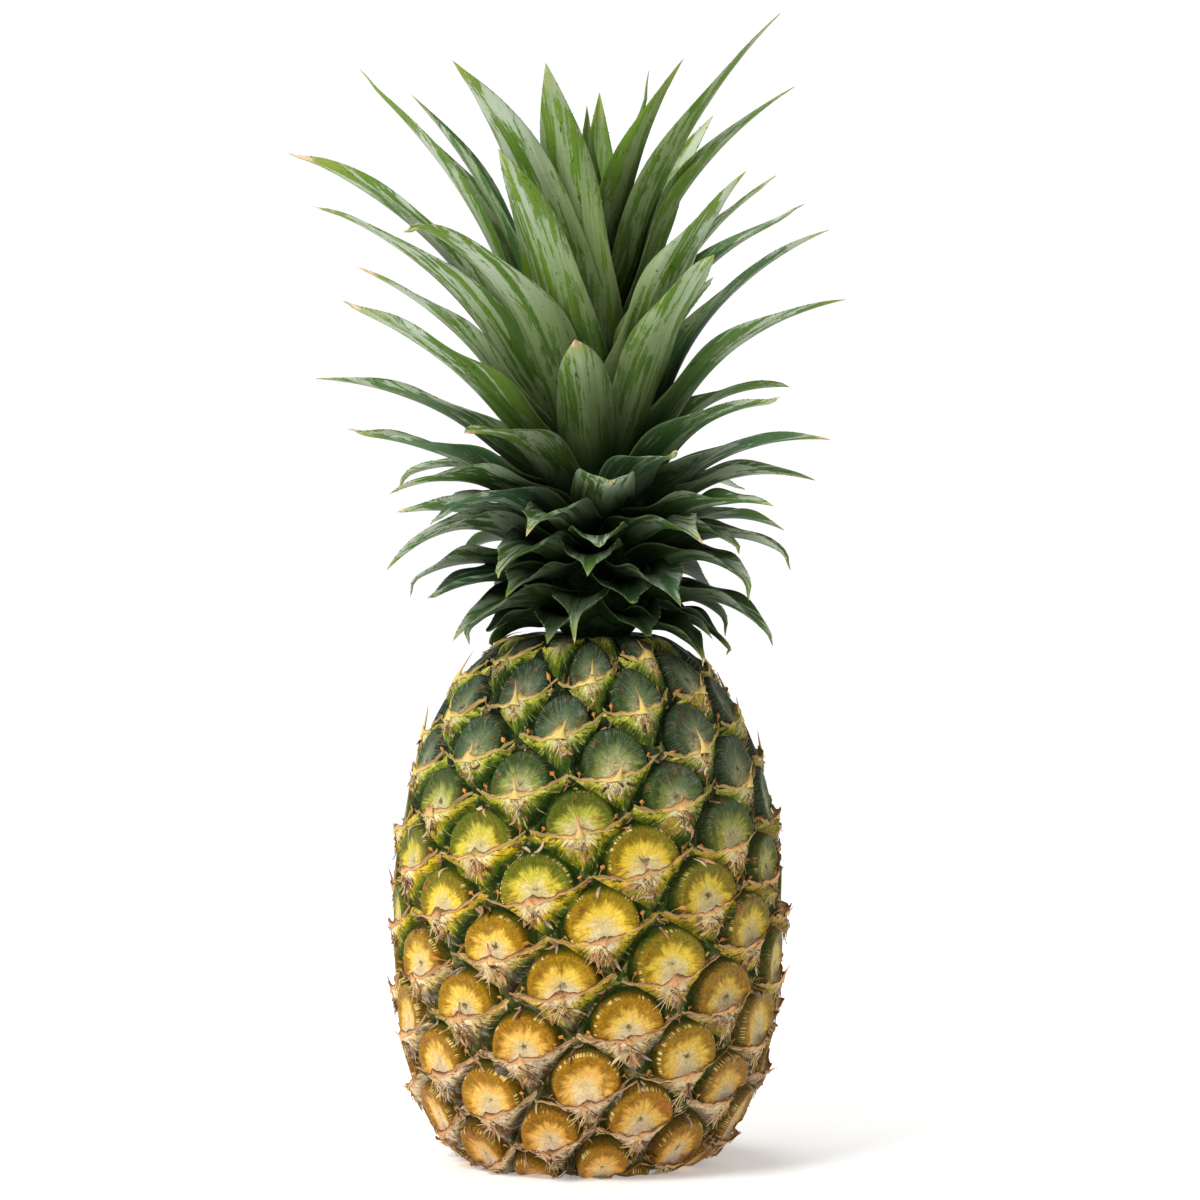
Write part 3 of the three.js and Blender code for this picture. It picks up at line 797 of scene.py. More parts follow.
# %% Dry bract material
dry = Recipe("dry_bract")
dry_u, dry_v = dry.uv("place")
dry_seed, _ = dry.uv("seed")
dry_place = dry.point(dry.times(dry_u, 60.0), dry.times(dry_v, 2.0), dry.times(dry_seed, 50.0))
dry_grain = dry.noise(dry_place, 1.0, 4.0, 0.6)
dry_patch = dry.noise(dry.place(), 160.0, 3.0)
dry_colour = dry.ramp(dry.sum_of(dry_v, (dry_grain, 0.9, 0.5), (dry_patch, 1.2, 0.5)), [
    (0.0, (0.70, 0.43, 0.15)), (0.3, (0.64, 0.32, 0.14)), (0.55, (0.52, 0.24, 0.10)),
    (0.75, (0.20, 0.085, 0.03)), (1.0, (0.09, 0.035, 0.015)),
])
dry_colour = dry.mix(dry.step(dry_grain, 0.54, 0.68, 0.0, 0.7), dry_colour, (0.84, 0.62, 0.32))
greenish = dry.step(dry.sum_of(dry.height(), (dry_patch, 110.0, 0.5)), 90.0, 150.0, 0.0, 0.7)
greenish = dry.times(greenish, dry.step(dry_v, 0.2, 0.75, 1.0, 0.35))
dry_colour = dry.mix(greenish, dry_colour, (0.66, 0.57, 0.15))
from_middle = dry.math("ABSOLUTE", dry.minus(dry_u, 0.5))
towards_end = dry.sum_of(dry.step(from_middle, 0.1, 0.34, 0.0, 0.8), (dry_patch, 0.9, 0.5))
end_colour = dry.mix(greenish, (0.34, 0.19, 0.085), (0.12, 0.14, 0.02))
dry_colour = dry.mix(towards_end, dry_colour, end_colour)
dry.set(Base_Color=dry_colour, Roughness=0.68, Normal=dry.bump(dry_grain, 0.5, 0.0004))
dry.set(Specular_IOR_Level=0.15)
edge_layers = {"place": edge_uv, "seed": edge_seed}
bract_edges = strips_piece("bract_edges", edge_front, edge_back, edge_layers, dry.material)

# %% [markdown]
# ## Spikes
# In the middle of each edge the bract ends in a thin dry spike. Low on the fruit most of them
# have broken off short, and near the crown they stand up long and pale. Each is a narrow strip
# that starts under the edge, runs up over the disc and bends away from it.

# %% Spike strips
SPIKE_ROWS = 9
along = np.linspace(0, 1, SPIKE_ROWS)[None, :, None]
sides = np.array([-1.0, 0.0, 1.0])[None, None, :]
spike_chance = random_table(23, EYES, 6)[:, :, None, None]
topness = soft_step(eye_height, 100, 150)[:, None, None]
broken = (spike_chance[:, 0] < 0.6) & (topness < 0.6)
stub_length = 1.8 + 1.8 * spike_chance[:, 1]
whole_length = 4.2 + 4.0 * spike_chance[:, 1]
spike_length = np.where(broken, stub_length, whole_length) + 1.6 * topness
half_width = 0.75 * (1 - along) ** 0.8 + (0.4 + 1.8 * topness) * (1 - along) ** 4 + 0.1
swing = (spike_chance[:, 3] - 0.5) * 8
spike_x = sides * half_width + swing * along**1.6
spike_root = margin_of(0) + per_eye(margin_shift) + 1.2
spike_y = spike_root - spike_length * along
spike_away = (0.9 + 1.8 * spike_chance[:, 4] + 0.8 * topness) * along**1.7
spike_lift = 2.3 + spike_away + 0.7 * (1 - np.abs(sides)) * (1 - along)
spike_x, spike_y, spike_lift = np.broadcast_arrays(spike_x, spike_y, spike_lift)
spike_front = near_eye(spike_x, spike_y, spike_lift)
spike_back = near_eye(spike_x, spike_y, spike_lift - 0.5 * (1 - 0.7 * along))
spike_uv = np.stack(np.broadcast_arrays(0.5 + 0.05 * sides, 0.85 * along, spike_x)[:2], axis=-1)
spike_seed = np.broadcast_to(eye_chance[eye_key][:, None, None, 5:7], spike_uv.shape)
spike_layers = {"place": spike_uv, "seed": spike_seed}
bract_spikes = strips_piece("bract_spikes", spike_front, spike_back, spike_layers, dry.material)

# %% [markdown]
# ## Loose fibres, shreds and corner tips
# Below each edge the bract's surface has frayed. Fine pale fibres fan out from the middle, wider
# brown shreds hang among them, and at the ends of many edges stands a little trowel-shaped tip
# on a thin stalk. All three are narrow strips that follow a heading, so one function lays them
# all, and only their width along the way differs.


# %% A function that lays narrow strips on the rind
def lay_strips(owner, x, y, heading, bend, length, width, clear, rise_end, thickness):
    """width is a function of the share along the strip. All else holds one value per strip."""
    rows = np.linspace(0, 1, 6)[None, :, None]
    per_strip = (x, y, heading, bend, length, rise_end)
    x, y, heading, bend, length, rise_end = (np.asarray(a)[:, None, None] for a in per_strip)
    way = heading + bend * rows
    spine_x, spine_y = x + np.sin(way) * length * rows, y + np.cos(way) * length * rows
    ground = relief(spine_x, spine_y, np.broadcast_to(eye_key[owner][:, None, None], spine_x.shape))
    ground = np.maximum(ground, ground[:, :1] - 0.8)
    spread = width(rows) * np.array([-1.0, 1.0])[None, None, :]
    strip_x, strip_y = spine_x + np.cos(way) * spread, spine_y - np.sin(way) * spread
    lift = ground + clear + rise_end * rows**1.6 + 0 * spread
    front = near_eye(strip_x, strip_y, lift, owner)
    back = near_eye(strip_x, strip_y, lift - thickness, owner)
    return front, back, rows


def strip_tones(tones, rows, front):
    """UV numbers of strips: a tone for each, and the share along it."""
    both = np.broadcast_arrays(tones[:, None, None], rows * np.ones(front.shape[:3]))
    return {"place": np.stack(both, axis=-1)}


# %% Fibres
FIBRES = 26
fewer = 1 - 0.65 * soft_step(eye_height, 90, 140)
edge_middle = margin_of(0) + margin_shift[eye_key]
owner = np.repeat(np.arange(EYES), FIBRES)
chance = random_table(31, 6, EYES * FIBRES)
fibre_front, fibre_back, rows = lay_strips(
    owner,
    x=(chance[3] - 0.5) * 4,
    y=edge_middle[owner] + 0.6 + 4 * chance[4],
    heading=(chance[0] - 0.5) * 2.6,
    bend=(chance[2] - 0.5) * 0.7,
    length=(2.5 + 6 * chance[1] ** 1.5) * fewer[owner],
    width=lambda t: 0.15 * (1 - 0.75 * t),
    clear=0.12,
    rise_end=0.9 * chance[5] ** 3,
    thickness=0.2,
)
fibre_tones = strip_tones(chance[0], rows, fibre_front)
fibre = Recipe("bract_fibre")
fibre_colour = fibre.ramp(fibre.uv("place")[0], [
    (0.0, (0.56, 0.40, 0.16)), (0.3, (0.80, 0.62, 0.32)), (0.5, (0.46, 0.28, 0.10)),
    (0.75, (0.20, 0.10, 0.04)), (1.0, (0.09, 0.035, 0.012)),
])
fibre.set(Base_Color=fibre_colour, Roughness=0.65, Specular_IOR_Level=0.15)
bract_fibres = strips_piece("bract_fibres", fibre_front, fibre_back, fibre_tones, fibre.material)

# %% [markdown]
# Most shreds hang below the edge, like the fibres. The last few of each eye lie in the corner
# above its disc, where the tips of the two upper bracts meet.

# %% Shreds
SHREDS = 13
AT_EDGE = 9
owner = np.repeat(np.arange(EYES), SHREDS)
chance = random_table(37, 8, EYES * SHREDS)
at_corner = np.tile(np.arange(SHREDS) >= AT_EDGE, EYES)
shred_x = (chance[3] - 0.5) * 9 + np.where(at_corner, -4, 0)
corner_y = -14.2 + 2.4 * chance[4] + 0.12 * np.abs(shred_x + 4)
shred_front, shred_back, rows = lay_strips(
    owner,
    x=shred_x,
    y=np.where(at_corner, corner_y, edge_middle[owner] + 1.2 + 5.5 * chance[4]),
    heading=(chance[0] - 0.5) * np.where(at_corner, 4.4, 2.6),
    bend=(chance[2] - 0.5) * 1.2,
    length=(1.8 + 3.6 * chance[1]) * (0.4 + 0.6 * fewer[owner]),
    width=lambda t: 0.5 * np.sin(np.pi * np.clip(0.2 + 0.8 * t, 0, 1)) ** 0.8 + 0.04,
    clear=0.12,
    rise_end=1.5 * chance[5] ** 2,
    thickness=0.22,
)
shred_tones = strip_tones(chance[6], rows, shred_front)
shred = Recipe("bract_shred")
shred_patch = shred.noise(shred.place(), 400.0, 3.0)
shred_colour = shred.ramp(shred.sum_of(shred.uv("place")[0], (shred_patch, 0.6, 0.5)), [
    (0.0, (0.06, 0.025, 0.012)), (0.25, (0.22, 0.10, 0.04)), (0.5, (0.50, 0.27, 0.11)),
    (0.7, (0.24, 0.18, 0.15)), (1.0, (0.66, 0.50, 0.28)),
])
shred.set(Base_Color=shred_colour, Roughness=0.7, Specular_IOR_Level=0.15)
bract_shreds = strips_piece("bract_shreds", shred_front, shred_back, shred_tones, shred.material)

# %% [markdown]
# A corner tip is narrow at first and widens to a small blade just before its end.

# %% Corner tips
TIPS = 2
owner = np.repeat(np.arange(EYES), TIPS)
chance = random_table(41, 8, EYES * TIPS)
tip_side = np.tile([-1.0, 1.0], EYES)
tip_x = tip_side * (13.5 + 2.5 * chance[0])
tip_key = eye_key[owner]
tip_front, tip_back, rows = lay_strips(
    owner,
    x=tip_x,
    y=margin_of(tip_x) + margin_shift[tip_key] + margin_slope[tip_key] * tip_x + 0.3,
    heading=np.pi + 0.9 * (chance[1] - 0.5) + 0.5 * tip_side,
    bend=(chance[2] - 0.5) * 0.8,
    length=2.5 + 2.2 * chance[3],
    width=lambda t: 0.14 + 0.85 * np.exp(-(((t - 0.8) / 0.13) ** 2)) * (t < 0.99),
    clear=0.5,
    rise_end=0.8 + 1.8 * chance[5],
    thickness=0.22,
)
tip_tones = strip_tones(chance[6], rows, tip_front)
tip = Recipe("corner_tip")
tip_u, tip_v = tip.uv("place")
tip_grain = tip.noise(tip.place(), 500.0, 3.0)
tip_colour = tip.ramp(tip.sum_of(tip_v, (tip_grain, 0.8, 0.5), (tip_u, 0.5, 0.5)), [
    (0.2, (0.42, 0.26, 0.09)), (0.6, (0.62, 0.27, 0.06)),
    (0.9, (0.50, 0.18, 0.04)), (1.0, (0.22, 0.08, 0.02)),
])
tip.set(Base_Color=tip_colour, Roughness=0.6, Specular_IOR_Level=0.2)
corner_tips = strips_piece("corner_tips", tip_front, tip_back, tip_tones, tip.material)

# %% [markdown]
# ## The crown's leaves, one by one
# The crown is a short stem with stiff leaves all round it. Each leaf leaves the stem, bows
# upwards and outwards, and ends in a tip, so four numbers describe it: the direction it grows
# in, how far out its tip lies, how high, and how much it bows. The lowest are short and arch
# right over. The table holds the leaves that are seen from the front and sides.

# %% Leaves seen from the front: azimuth in degrees, reach and height of the tip, bow
CROWN_AXIS_X = 4.2
FRONT_LEAVES = [
    (52, 46, 167, 0.45), (-102, 37, 169, 0.45), (85, 46, 168, 0.5), (70, 63, 174, 0.46),
    (-75, 46, 176, 0.4), (-50, 61, 176, 0.35), (-10, 44, 181, 0.36), (15, 48, 186, 0.36),
    (28, 58, 188, 0.36), (-130, 46, 187, 0.4), (-65, 63, 187, 0.3), (-40, 46, 190, 0.4),
    (60, 60, 192, 0.46), (-80, 65, 192, 0.35), (-3, 56, 198, 0.34), (-35, 58, 196, 0.5),
    (-64, 76, 199, 0.5), (75, 68, 201, 0.4), (1, 62, 206, 0.3), (35, 60, 208, 0.4),
    (105, 65, 210, 0.35), (-20, 66, 211, 0.4), (-105, 72, 215, 0.24), (55, 70, 220, 0.24),
    (-57, 80, 224, 0.36), (62, 55, 204, 0.5), (-48, 74, 212, 0.5), (-100, 70, 226, 0.5),
    (95, 73, 227, 0.34), (4, 70, 228, 0.26), (30, 54, 235, 0.4), (80, 78, 241, 0.28),
    (-75, 86, 243, 0.19), (-40, 69, 243, 0.4), (60, 72, 253, 0.36), (100, 68, 258, 0.45),
    (-85, 93, 261, 0.25), (-8, 50, 274, 0.26), (-65, 93, 286, 0.2), (80, 83, 287, 0.32),
    (-90, 80, 298, 0.24), (40, 61, 303, 0.2), (84, 77, 310, 0.3), (-45, 90, 313, 0.38),
    (100, 72, 317, 0.42), (-75, 98, 319, 0.28), (45, 68, 328, 0.22), (120, 72, 329, 0.34),
    (-30, 63, 335, 0.2), (-80, 105, 337, 0.28), (-97, 62, 355, 0.22), (178, 26, 357, 0.1),
    (100, 67, 358, 0.36), (98, 20, 360, 0.2), (-20, 48, 363, 0.14), (-110, 87, 364, 0.22),
    (-36, 80, 364, 0.3), (60, 33, 366, 0.28), (82, 61, 381, 0.2),
]
LATE_START = {len(FRONT_LEAVES) - 1: 264.0}
STEM = np.array([(14, 176.35), (20, 183), (25, 200), (23, 228), (15, 254), (0, 272)])


def blend(a, b, share):
    return a + (b - a) * share


# %% [markdown]
# The leaves behind are guessed, because no picture shows them. They follow the same rules as
# the front ones: the further up the stem, the higher and steeper. The golden angle spreads them
# over the back, a few young ones stand upright in the heart, and seven short ones hide the foot.

# %% Leaves at the back, in the heart and round the foot
BACK_LEAVES, HEART_LEAVES, FOOT_LEAVES = 22, 5, 7
BACK_CROWDING = 1.45
FOOT_START = 179.0
leaf_table = [list(leaf) for leaf in FRONT_LEAVES]
for n in range(BACK_LEAVES):
    share = (n / (BACK_LEAVES - 1)) ** BACK_CROWDING
    side = (n * GOLDEN_ANGLE / 360) % 1
    arc = blend(76, 40, soft_step(share, 0, 0.35))
    reach = blend(46, 80, soft_step(share, 0, 0.3)) - 16 * soft_step(share, 0.7, 1)
    leaf_table.append([180 + blend(-arc, arc, side), reach, blend(178, 350, share), blend(0.45, 0.24, share)])
for n in range(HEART_LEAVES):
    share = n / (HEART_LEAVES - 1)
    leaf_table.append([40 + n * GOLDEN_ANGLE, blend(24, 6, share), blend(290, 350, share), 0.12])
for n in range(FOOT_LEAVES):
    leaf_table.append([27 + n * 360 / FOOT_LEAVES, 39, 175, 0.5])
    LATE_START[len(leaf_table) - 1] = FOOT_START
leaf_table = np.array(leaf_table, float)
LEAVES = len(leaf_table)
leaf_azimuth, leaf_reach, leaf_tip, leaf_bow = leaf_table.T
leaf_start = FOOT_START + 60 * (1 - np.exp((168 - leaf_tip) / 75))
for number, height in LATE_START.items():
    leaf_start[number] = height
stem_radius = np.interp(leaf_start, STEM[:, 1], STEM[:, 0])
print("leaves:", LEAVES)

# %% [markdown]
# ## The line of a leaf
# A leaf's middle line is a quadratic Bezier curve: it starts in the stem, is pulled towards a
# point above the chord, and ends at the tip. Where it would cut the fruit's shoulder it is
# lifted clear of it. The very tip of many leaves has dried and curled, so the last part turns
# up or down and draws in a little more than the curve does.

# %% Middle lines of all leaves
LEAF_ROWS = 34
LEAF_CLEARANCE = 5.4
row = np.linspace(0, 1, LEAF_ROWS)[None, :]
start_point = np.stack([stem_radius * 0.6, leaf_start], axis=1)
tip_point = np.stack([leaf_reach, leaf_tip], axis=1)
chord = tip_point - start_point
pulled = (start_point + tip_point) / 2 + np.stack([-chord[:, 1], chord[:, 0]], axis=1) * leaf_bow[:, None]
t = row[..., None]
line = (1 - t) ** 2 * start_point[:, None] + 2 * t * (1 - t) * pulled[:, None] + t * t * tip_point[:, None]
above_widest = outline[: np.argmax(outline[:, 0])]
shoulder = np.interp(line[..., 0], above_widest[:, 0], above_widest[:, 1])
line[..., 1] = np.maximum(line[..., 1], shoulder + LEAF_CLEARANCE)
leaf_chance = random_table(47, LEAVES, 8)
curled = np.where(leaf_chance[:, 7] < 0.6, 3 + 9 * np.abs(leaf_chance[:, 7] - 0.3), 0.0)[:, None]
line[..., 1] += curled * (leaf_chance[:, 6] - 0.62)[:, None] * 2 * soft_step(row, 0.86, 1.0) ** 2
line[..., 0] -= 0.5 * curled * soft_step(row, 0.9, 1.0) ** 2
leaf_length = np.linalg.norm(np.diff(line, axis=1), axis=2).sum(axis=1)
leaf_width = np.clip(15 + 0.09 * leaf_length, 21, 28)
print("leaf lengths:", leaf_length.min().round(), "to", leaf_length.max().round(), "mm")


# %% [markdown]
# ## The blade across
# Across, a pineapple leaf is a shallow gutter: the middle is thick and fleshy, and the two edges
# stand up towards the stem and run out thin. That gutter is what keeps it stiff. Where a leaf
# arches over, its two edges show as horns with a notch between. A twist that grows towards the
# tip and slow waves along both edges keep the leaves from looking cast in one mould.


# %% Directions along each leaf
def scatter(number, salt):
    value = np.sin(number * 12.9898 + salt * 78.233) * 43758.5453
    return value - np.floor(value)


turn = np.radians(leaf_azimuth)[:, None]
outwards = np.stack([np.sin(turn), -np.cos(turn), 0 * turn], axis=-1)
sideways = np.stack([np.cos(turn), np.sin(turn), 0 * turn], axis=-1)
reached, risen = line[..., :1], line[..., 1:]
spine = reached * outwards + np.array([CROWN_AXIS_X, 0, 0]) + risen * np.array([0, 0, 1])
along_leaf = unit(np.gradient(spine, axis=1))
inner = unit(np.cross(along_leaf, np.broadcast_to(sideways, along_leaf.shape)))
twist = np.radians(-9 + 18 * scatter(np.arange(LEAVES), 1))[:, None] * row
twist = twist + (leaf_chance[:, :1] - 0.5) * 0.5 * soft_step(row, 0.55, 1)
cos, sin = np.cos(twist)[..., None], np.sin(twist)[..., None]
side_way = sideways * cos + np.cross(along_leaf, sideways) * sin
inner_way = inner * cos + np.cross(along_leaf, inner) * sin
tip_twist = np.degrees(twist[:, -1])
print("twist at the tips:", tip_twist.min().round(), "to", tip_twist.max().round(), "degrees")

# %% [markdown]
# Leaves that face us stay broad for longer and then narrow quickly, while those at the sides
# taper all along. The blade thins out towards its edges and its tip, so that the end is a point.


# %% The two faces of the blade
LEAF_COLUMNS = 13
u = np.linspace(-1, 1, LEAF_COLUMNS)[None, None, :]
long_row = row[..., None]
facing = 1 - soft_step(np.abs((leaf_azimuth + 180) % 360 - 180), 35, 75)
taper = blend(2.3, 3.4, facing)[:, None]
pinch = 0.5 * facing * (1 - soft_step(leaf_tip, 225, 250))
narrow_tip = 1 - pinch[:, None] * soft_step(row, 0.68, 0.88)
half = leaf_width[:, None] / 2 * (1 - row**taper) * narrow_tip * blend(0.85, 1, soft_step(row, 0, 0.3))
depth = half * blend(0.66, 0.34, soft_step(row, 0, 0.8))
sag = 0.4 * depth * soft_step(row, 0, 0.3)
thick = blend(1.5, 0.9, row) * np.clip(half / 7, 0, 1)
wave_rate, wave_start = leaf_chance[:, 1:3].T[..., None, None]
wave = 0.09 * np.sin(long_row * (9 + 7 * wave_rate) + 6 * u + 20 * wave_start)
wave = wave * np.abs(u) ** 3 * half[..., None] * 1.6
lower = (depth + thick)[..., None] * np.abs(u) ** 1.7 - thick[..., None] + wave
blade = 2 * thick[..., None] * (1 - u**2) * 0.85 * (1 - 0.6 * long_row) + 0.4 - 0.18 * long_row
upper = lower + blade
across_leaf = half[..., None] * u


def leaf_point(across, up):
    place = (spine - inner_way * sag[..., None])[:, :, None]
    return place + across[..., None] * side_way[:, :, None] + up[..., None] * inner_way[:, :, None]


leaf_upper, leaf_lower = leaf_point(across_leaf, upper), leaf_point(across_leaf, lower)
leaf_corners = leaf_lower.reshape(-1, 3)
print("leaf box:", leaf_corners.min(0).round(1), leaf_corners.max(0).round(1))

# %% [markdown]
# ## Leaf material
# A leaf is green under a silvery bloom of fine scales, which has rubbed off in patches drawn
# out along the leaf. Fine veins run lengthwise, and small dark scratches cross them. Tips turn
# yellow, then dry to cream. UV layers tell the material the place on the leaf, the same in
# millimetres, how old and how dry the leaf is, and two random numbers of its own.


# %% UV numbers of the leaves
def leaf_layer(first, second):
    """Two numbers for every point of every leaf."""
    whole = np.ones((LEAVES, LEAF_ROWS, LEAF_COLUMNS))
    return np.stack([first * whole, second * whole], axis=-1)


age = 1 - soft_step(leaf_tip, 175, 300)
dryness = np.where(leaf_chance[:, 3] < 0.45, 0.3 + 0.7 * leaf_chance[:, 4], 0.12)
leaf_layers = {
    "place": leaf_layer(u * 0.5 + 0.5, long_row),
    "kind": leaf_layer(age[:, None, None], dryness[:, None, None]),
    "seed": leaf_layer(leaf_chance[:, 5, None, None], leaf_chance[:, 6, None, None]),
    "size": leaf_layer(across_leaf / 60 + 0.5, long_row * leaf_length[:, None, None] / 250),
}
print("layers of the leaves:", sorted(leaf_layers))

# %% Noises of the leaf
leaf = Recipe("crown_leaf")
leaf_u, leaf_t = leaf.uv("place")
leaf_age, leaf_dry = leaf.uv("kind")
seed_a, seed_b = leaf.uv("seed")
mm_u, mm_v = leaf.uv("size")
own_noise = leaf.times(seed_a, 80.0)


def leaf_noise(across, along, shift=0.0, detail=3.0, roughness=0.55, distortion=0.0):
    """Noise in a leaf's own directions: how many blobs to 60 mm across and to 250 mm along."""
    place = leaf.point(leaf.times(mm_u, across), leaf.times(mm_v, along), leaf.plus(own_noise, shift))
    return leaf.noise(place, 1.0, detail, roughness, distortion)


veins = leaf_noise(80.0, 4.0)
wide_veins = leaf_noise(26.0, 2.5, 5.0)
cross_lines = leaf_noise(10.0, 120.0, 9.0, 2.0)
rubbed_patch = leaf_noise(10.0, 9.0, 13.0, 5.0, 0.7, 0.5)
rubbed_streak = leaf_noise(48.0, 6.0, 17.0, 5.0, 0.7)
mottle = leaf.noise(leaf.place(), 220.0, 3.0)

# %% [markdown]
# Young leaves, high in the crown, are a fresh yellow-green, and the old low ones dark. A few
# have a blue-green cast. Both ramps also run nearly black towards each leaf's base, which is
# painted shade where the leaves crowd round the stem.

# %% The green under the bloom
# Painted shade: both ramps darken towards the leaf's base.
young = leaf.ramp(leaf_t, [
    (0.0, (0.028, 0.068, 0.006)), (0.35, (0.042, 0.10, 0.008)), (0.75, (0.075, 0.16, 0.008)),
    (1.0, (0.15, 0.24, 0.012)),
])
old = leaf.ramp(leaf_t, [
    (0.0, (0.006, 0.015, 0.002)), (0.3, (0.012, 0.034, 0.004)), (0.6, (0.022, 0.07, 0.008)),
    (0.85, (0.06, 0.14, 0.012)), (1.0, (0.14, 0.23, 0.02)),
])
green = leaf.mix(leaf_age, young, old)
vein_green = leaf.mix(leaf_age, (0.13, 0.22, 0.012), (0.04, 0.10, 0.01))
green = leaf.mix(leaf.step(wide_veins, 0.4, 0.62, 0.0, 0.55), green, vein_green)
green = leaf.mix(leaf.step(seed_b, 0.72, 0.95, 0.0, 0.55), green, (0.03, 0.11, 0.07))

# %% [markdown]
# The bloom is paler along the veins. Where a leaf stands out far from the crown's axis, a
# painted silvery sheen brightens it further. Where two noises add up past a limit, it has
# rubbed off.

# %% The silvery bloom and its painted sheen
bloom_tone = leaf.mix(leaf_age, (0.175, 0.24, 0.085), (0.17, 0.23, 0.135))
pale_vein = leaf.mix(leaf_age, (0.27, 0.34, 0.17), (0.26, 0.32, 0.21))
bloom_tone = leaf.mix(leaf.step(veins, 0.44, 0.6, 0.0, 0.4), bloom_tone, pale_vein)
rubbed = leaf.sum_of(rubbed_patch, (rubbed_streak, 0.85, 0.5), (seed_b, 0.1, 0.6))
bloom_share = leaf.step(rubbed, 0.53, 0.485, 0.06, 0.88)
leaf_x, leaf_y, _ = leaf.apart(leaf.place())
away = leaf.times(leaf.length_of(leaf.minus(leaf_x, CROWN_AXIS_X / 1000), leaf_y), 1000.0)
# Painted sheen: leaves far from the axis are brightened towards silver.
painted_sheen = leaf.times(leaf.step(away, 26.0, 60.0), leaf.step(wide_veins, 0.32, 0.55, 0.45, 1.0))
bloom_tone = leaf.mix(painted_sheen, bloom_tone, (0.44, 0.50, 0.38))
leaf_colour = leaf.mix(bloom_share, green, bloom_tone)

# %% [markdown]
# Deep between the leaves, close to the stem and low down, shade is painted into the colour and
# the leaves there turn nearly black. The painted shade fades outwards, upwards and towards each tip.

# %% Painted shade deep in the crown, patch borders and scratches
# Painted shade: darkest near the axis and low down, fading outwards, upwards and towards each tip.
raised = leaf.times(leaf.minus(leaf.height(), 186.0), 0.36)
painted_crown_shade = leaf.step(leaf.plus(away, raised), 24.0, 84.0, 0.95, 0.0)
painted_crown_shade = leaf.sum_of(painted_crown_shade, (leaf_t, -0.3, 0.5), (leaf.step(leaf_t, 0.74, 1.0), -0.25, 0.0))
leaf_colour = leaf.mix(painted_crown_shade, leaf_colour, (0.008, 0.018, 0.004))
border = leaf.step(leaf.math("ABSOLUTE", leaf.minus(rubbed, 0.5)), 0.022, 0.008, 0.0, 0.5)
border = leaf.times(border, leaf.step(veins, 0.42, 0.56))
leaf_colour = leaf.mix(border, leaf_colour, (0.02, 0.04, 0.01))
leaf_colour = leaf.mix(leaf.step(cross_lines, 0.6, 0.7, 0.0, 0.14), leaf_colour, (0.02, 0.035, 0.01))
scratch = leaf_noise(34.0, 50.0, 21.0, 5.0, 0.7, 1.6)
scratch_here = leaf.times(leaf.step(scratch, 0.61, 0.66, 0.0, 0.85), leaf.step(rubbed_streak, 0.42, 0.55))
leaf_colour = leaf.mix(scratch_here, leaf_colour, (0.010, 0.022, 0.006))

# %% [markdown]
# The edges are a thin pale line. At the tip the leaf yellows and then turns to dry cream, the
# further down the drier that leaf is.

# %% Edges and dry tips, and the finished leaves
from_middle = leaf.math("ABSOLUTE", leaf.minus(leaf_u, 0.5))
leaf_colour = leaf.mix(leaf.step(from_middle, 0.48, 0.5, 0.0, 0.3), leaf_colour, (0.14, 0.19, 0.07))
dry_start = leaf.minus(1.02, leaf.times(leaf_dry, 0.1))
past_dry = leaf.minus(leaf.sum_of(leaf_t, (mottle, 0.05, 0.5)), dry_start)
leaf_colour = leaf.mix(leaf.step(past_dry, -0.12, 0.0, 0.0, 0.5), leaf_colour, (0.30, 0.34, 0.05))
dry_tip = leaf.mix(leaf.step(veins, 0.4, 0.6), (0.70, 0.58, 0.38), (0.40, 0.27, 0.13))
leaf_colour = leaf.mix(leaf.step(past_dry, -0.015, 0.015), leaf_colour, dry_tip)
leaf_grain = leaf.sum_of(leaf.times(veins, 0.6), (wide_veins, 0.5, 0.5), (cross_lines, 0.1, 0.5))
leaf_roughness = leaf.step(bloom_share, 0.1, 0.8, 0.42, 0.55)
leaf.set(Base_Color=leaf_colour, Roughness=leaf_roughness, Normal=leaf.bump(leaf_grain, 0.35, 0.0005))
leaf.set(Specular_IOR_Level=0.1)
crown_leaves = strips_piece("crown_leaves", leaf_lower, leaf_upper, leaf_layers, leaf.material)
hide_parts("crown")

# %% [markdown]
# ## Thorns on the leaf edges
# Small hooked thorns point towards the tip along the edges. They are tiny, so each is a
# three-sided point with its foot inside the blade's edge.

# %% Thorn points
THORNS = 8
thorn_chance = random_table(53, LEAVES, 2, THORNS, 3)
thorn_row = 0.62 + 0.34 * (np.arange(THORNS)[None, None] + 0.8 * thorn_chance[..., 0]) / THORNS
thorn_at = np.clip(thorn_row * (LEAF_ROWS - 1), 0, LEAF_ROWS - 1.01)
low_row = thorn_at.astype(int)
part_row = (thorn_at - low_row)[..., None]
leaf_number = np.arange(LEAVES)[:, None]
middle_surface = (leaf_upper + leaf_lower) / 2


def edge_thorns(side, column):
    """The four corners of every thorn along one edge of the leaves."""
    rows = low_row[:, side]
    here = middle_surface[leaf_number, rows, column]
    ahead = middle_surface[leaf_number, rows + 1, column]
    foot = here + (ahead - here) * part_row[:, side]
    forward = unit(ahead - here)
    inward = unit(middle_surface[leaf_number, rows, LEAF_COLUMNS // 2] - here)
    length = (0.3 + 0.35 * thorn_chance[:, side, :, 1])[..., None]
    normal = unit(np.cross(forward, inward))
    point = foot - inward * length + forward * length * 0.9
    behind = foot + inward * 0.4 - forward * 0.35
    before = foot + inward * 0.4 + forward * 0.3
    under = (behind + before) / 2 - normal * 0.35
    corners = [point, behind + normal * 0.22, before + normal * 0.22, under]
    return np.stack(corners, axis=-2).reshape(-1, 4, 3)


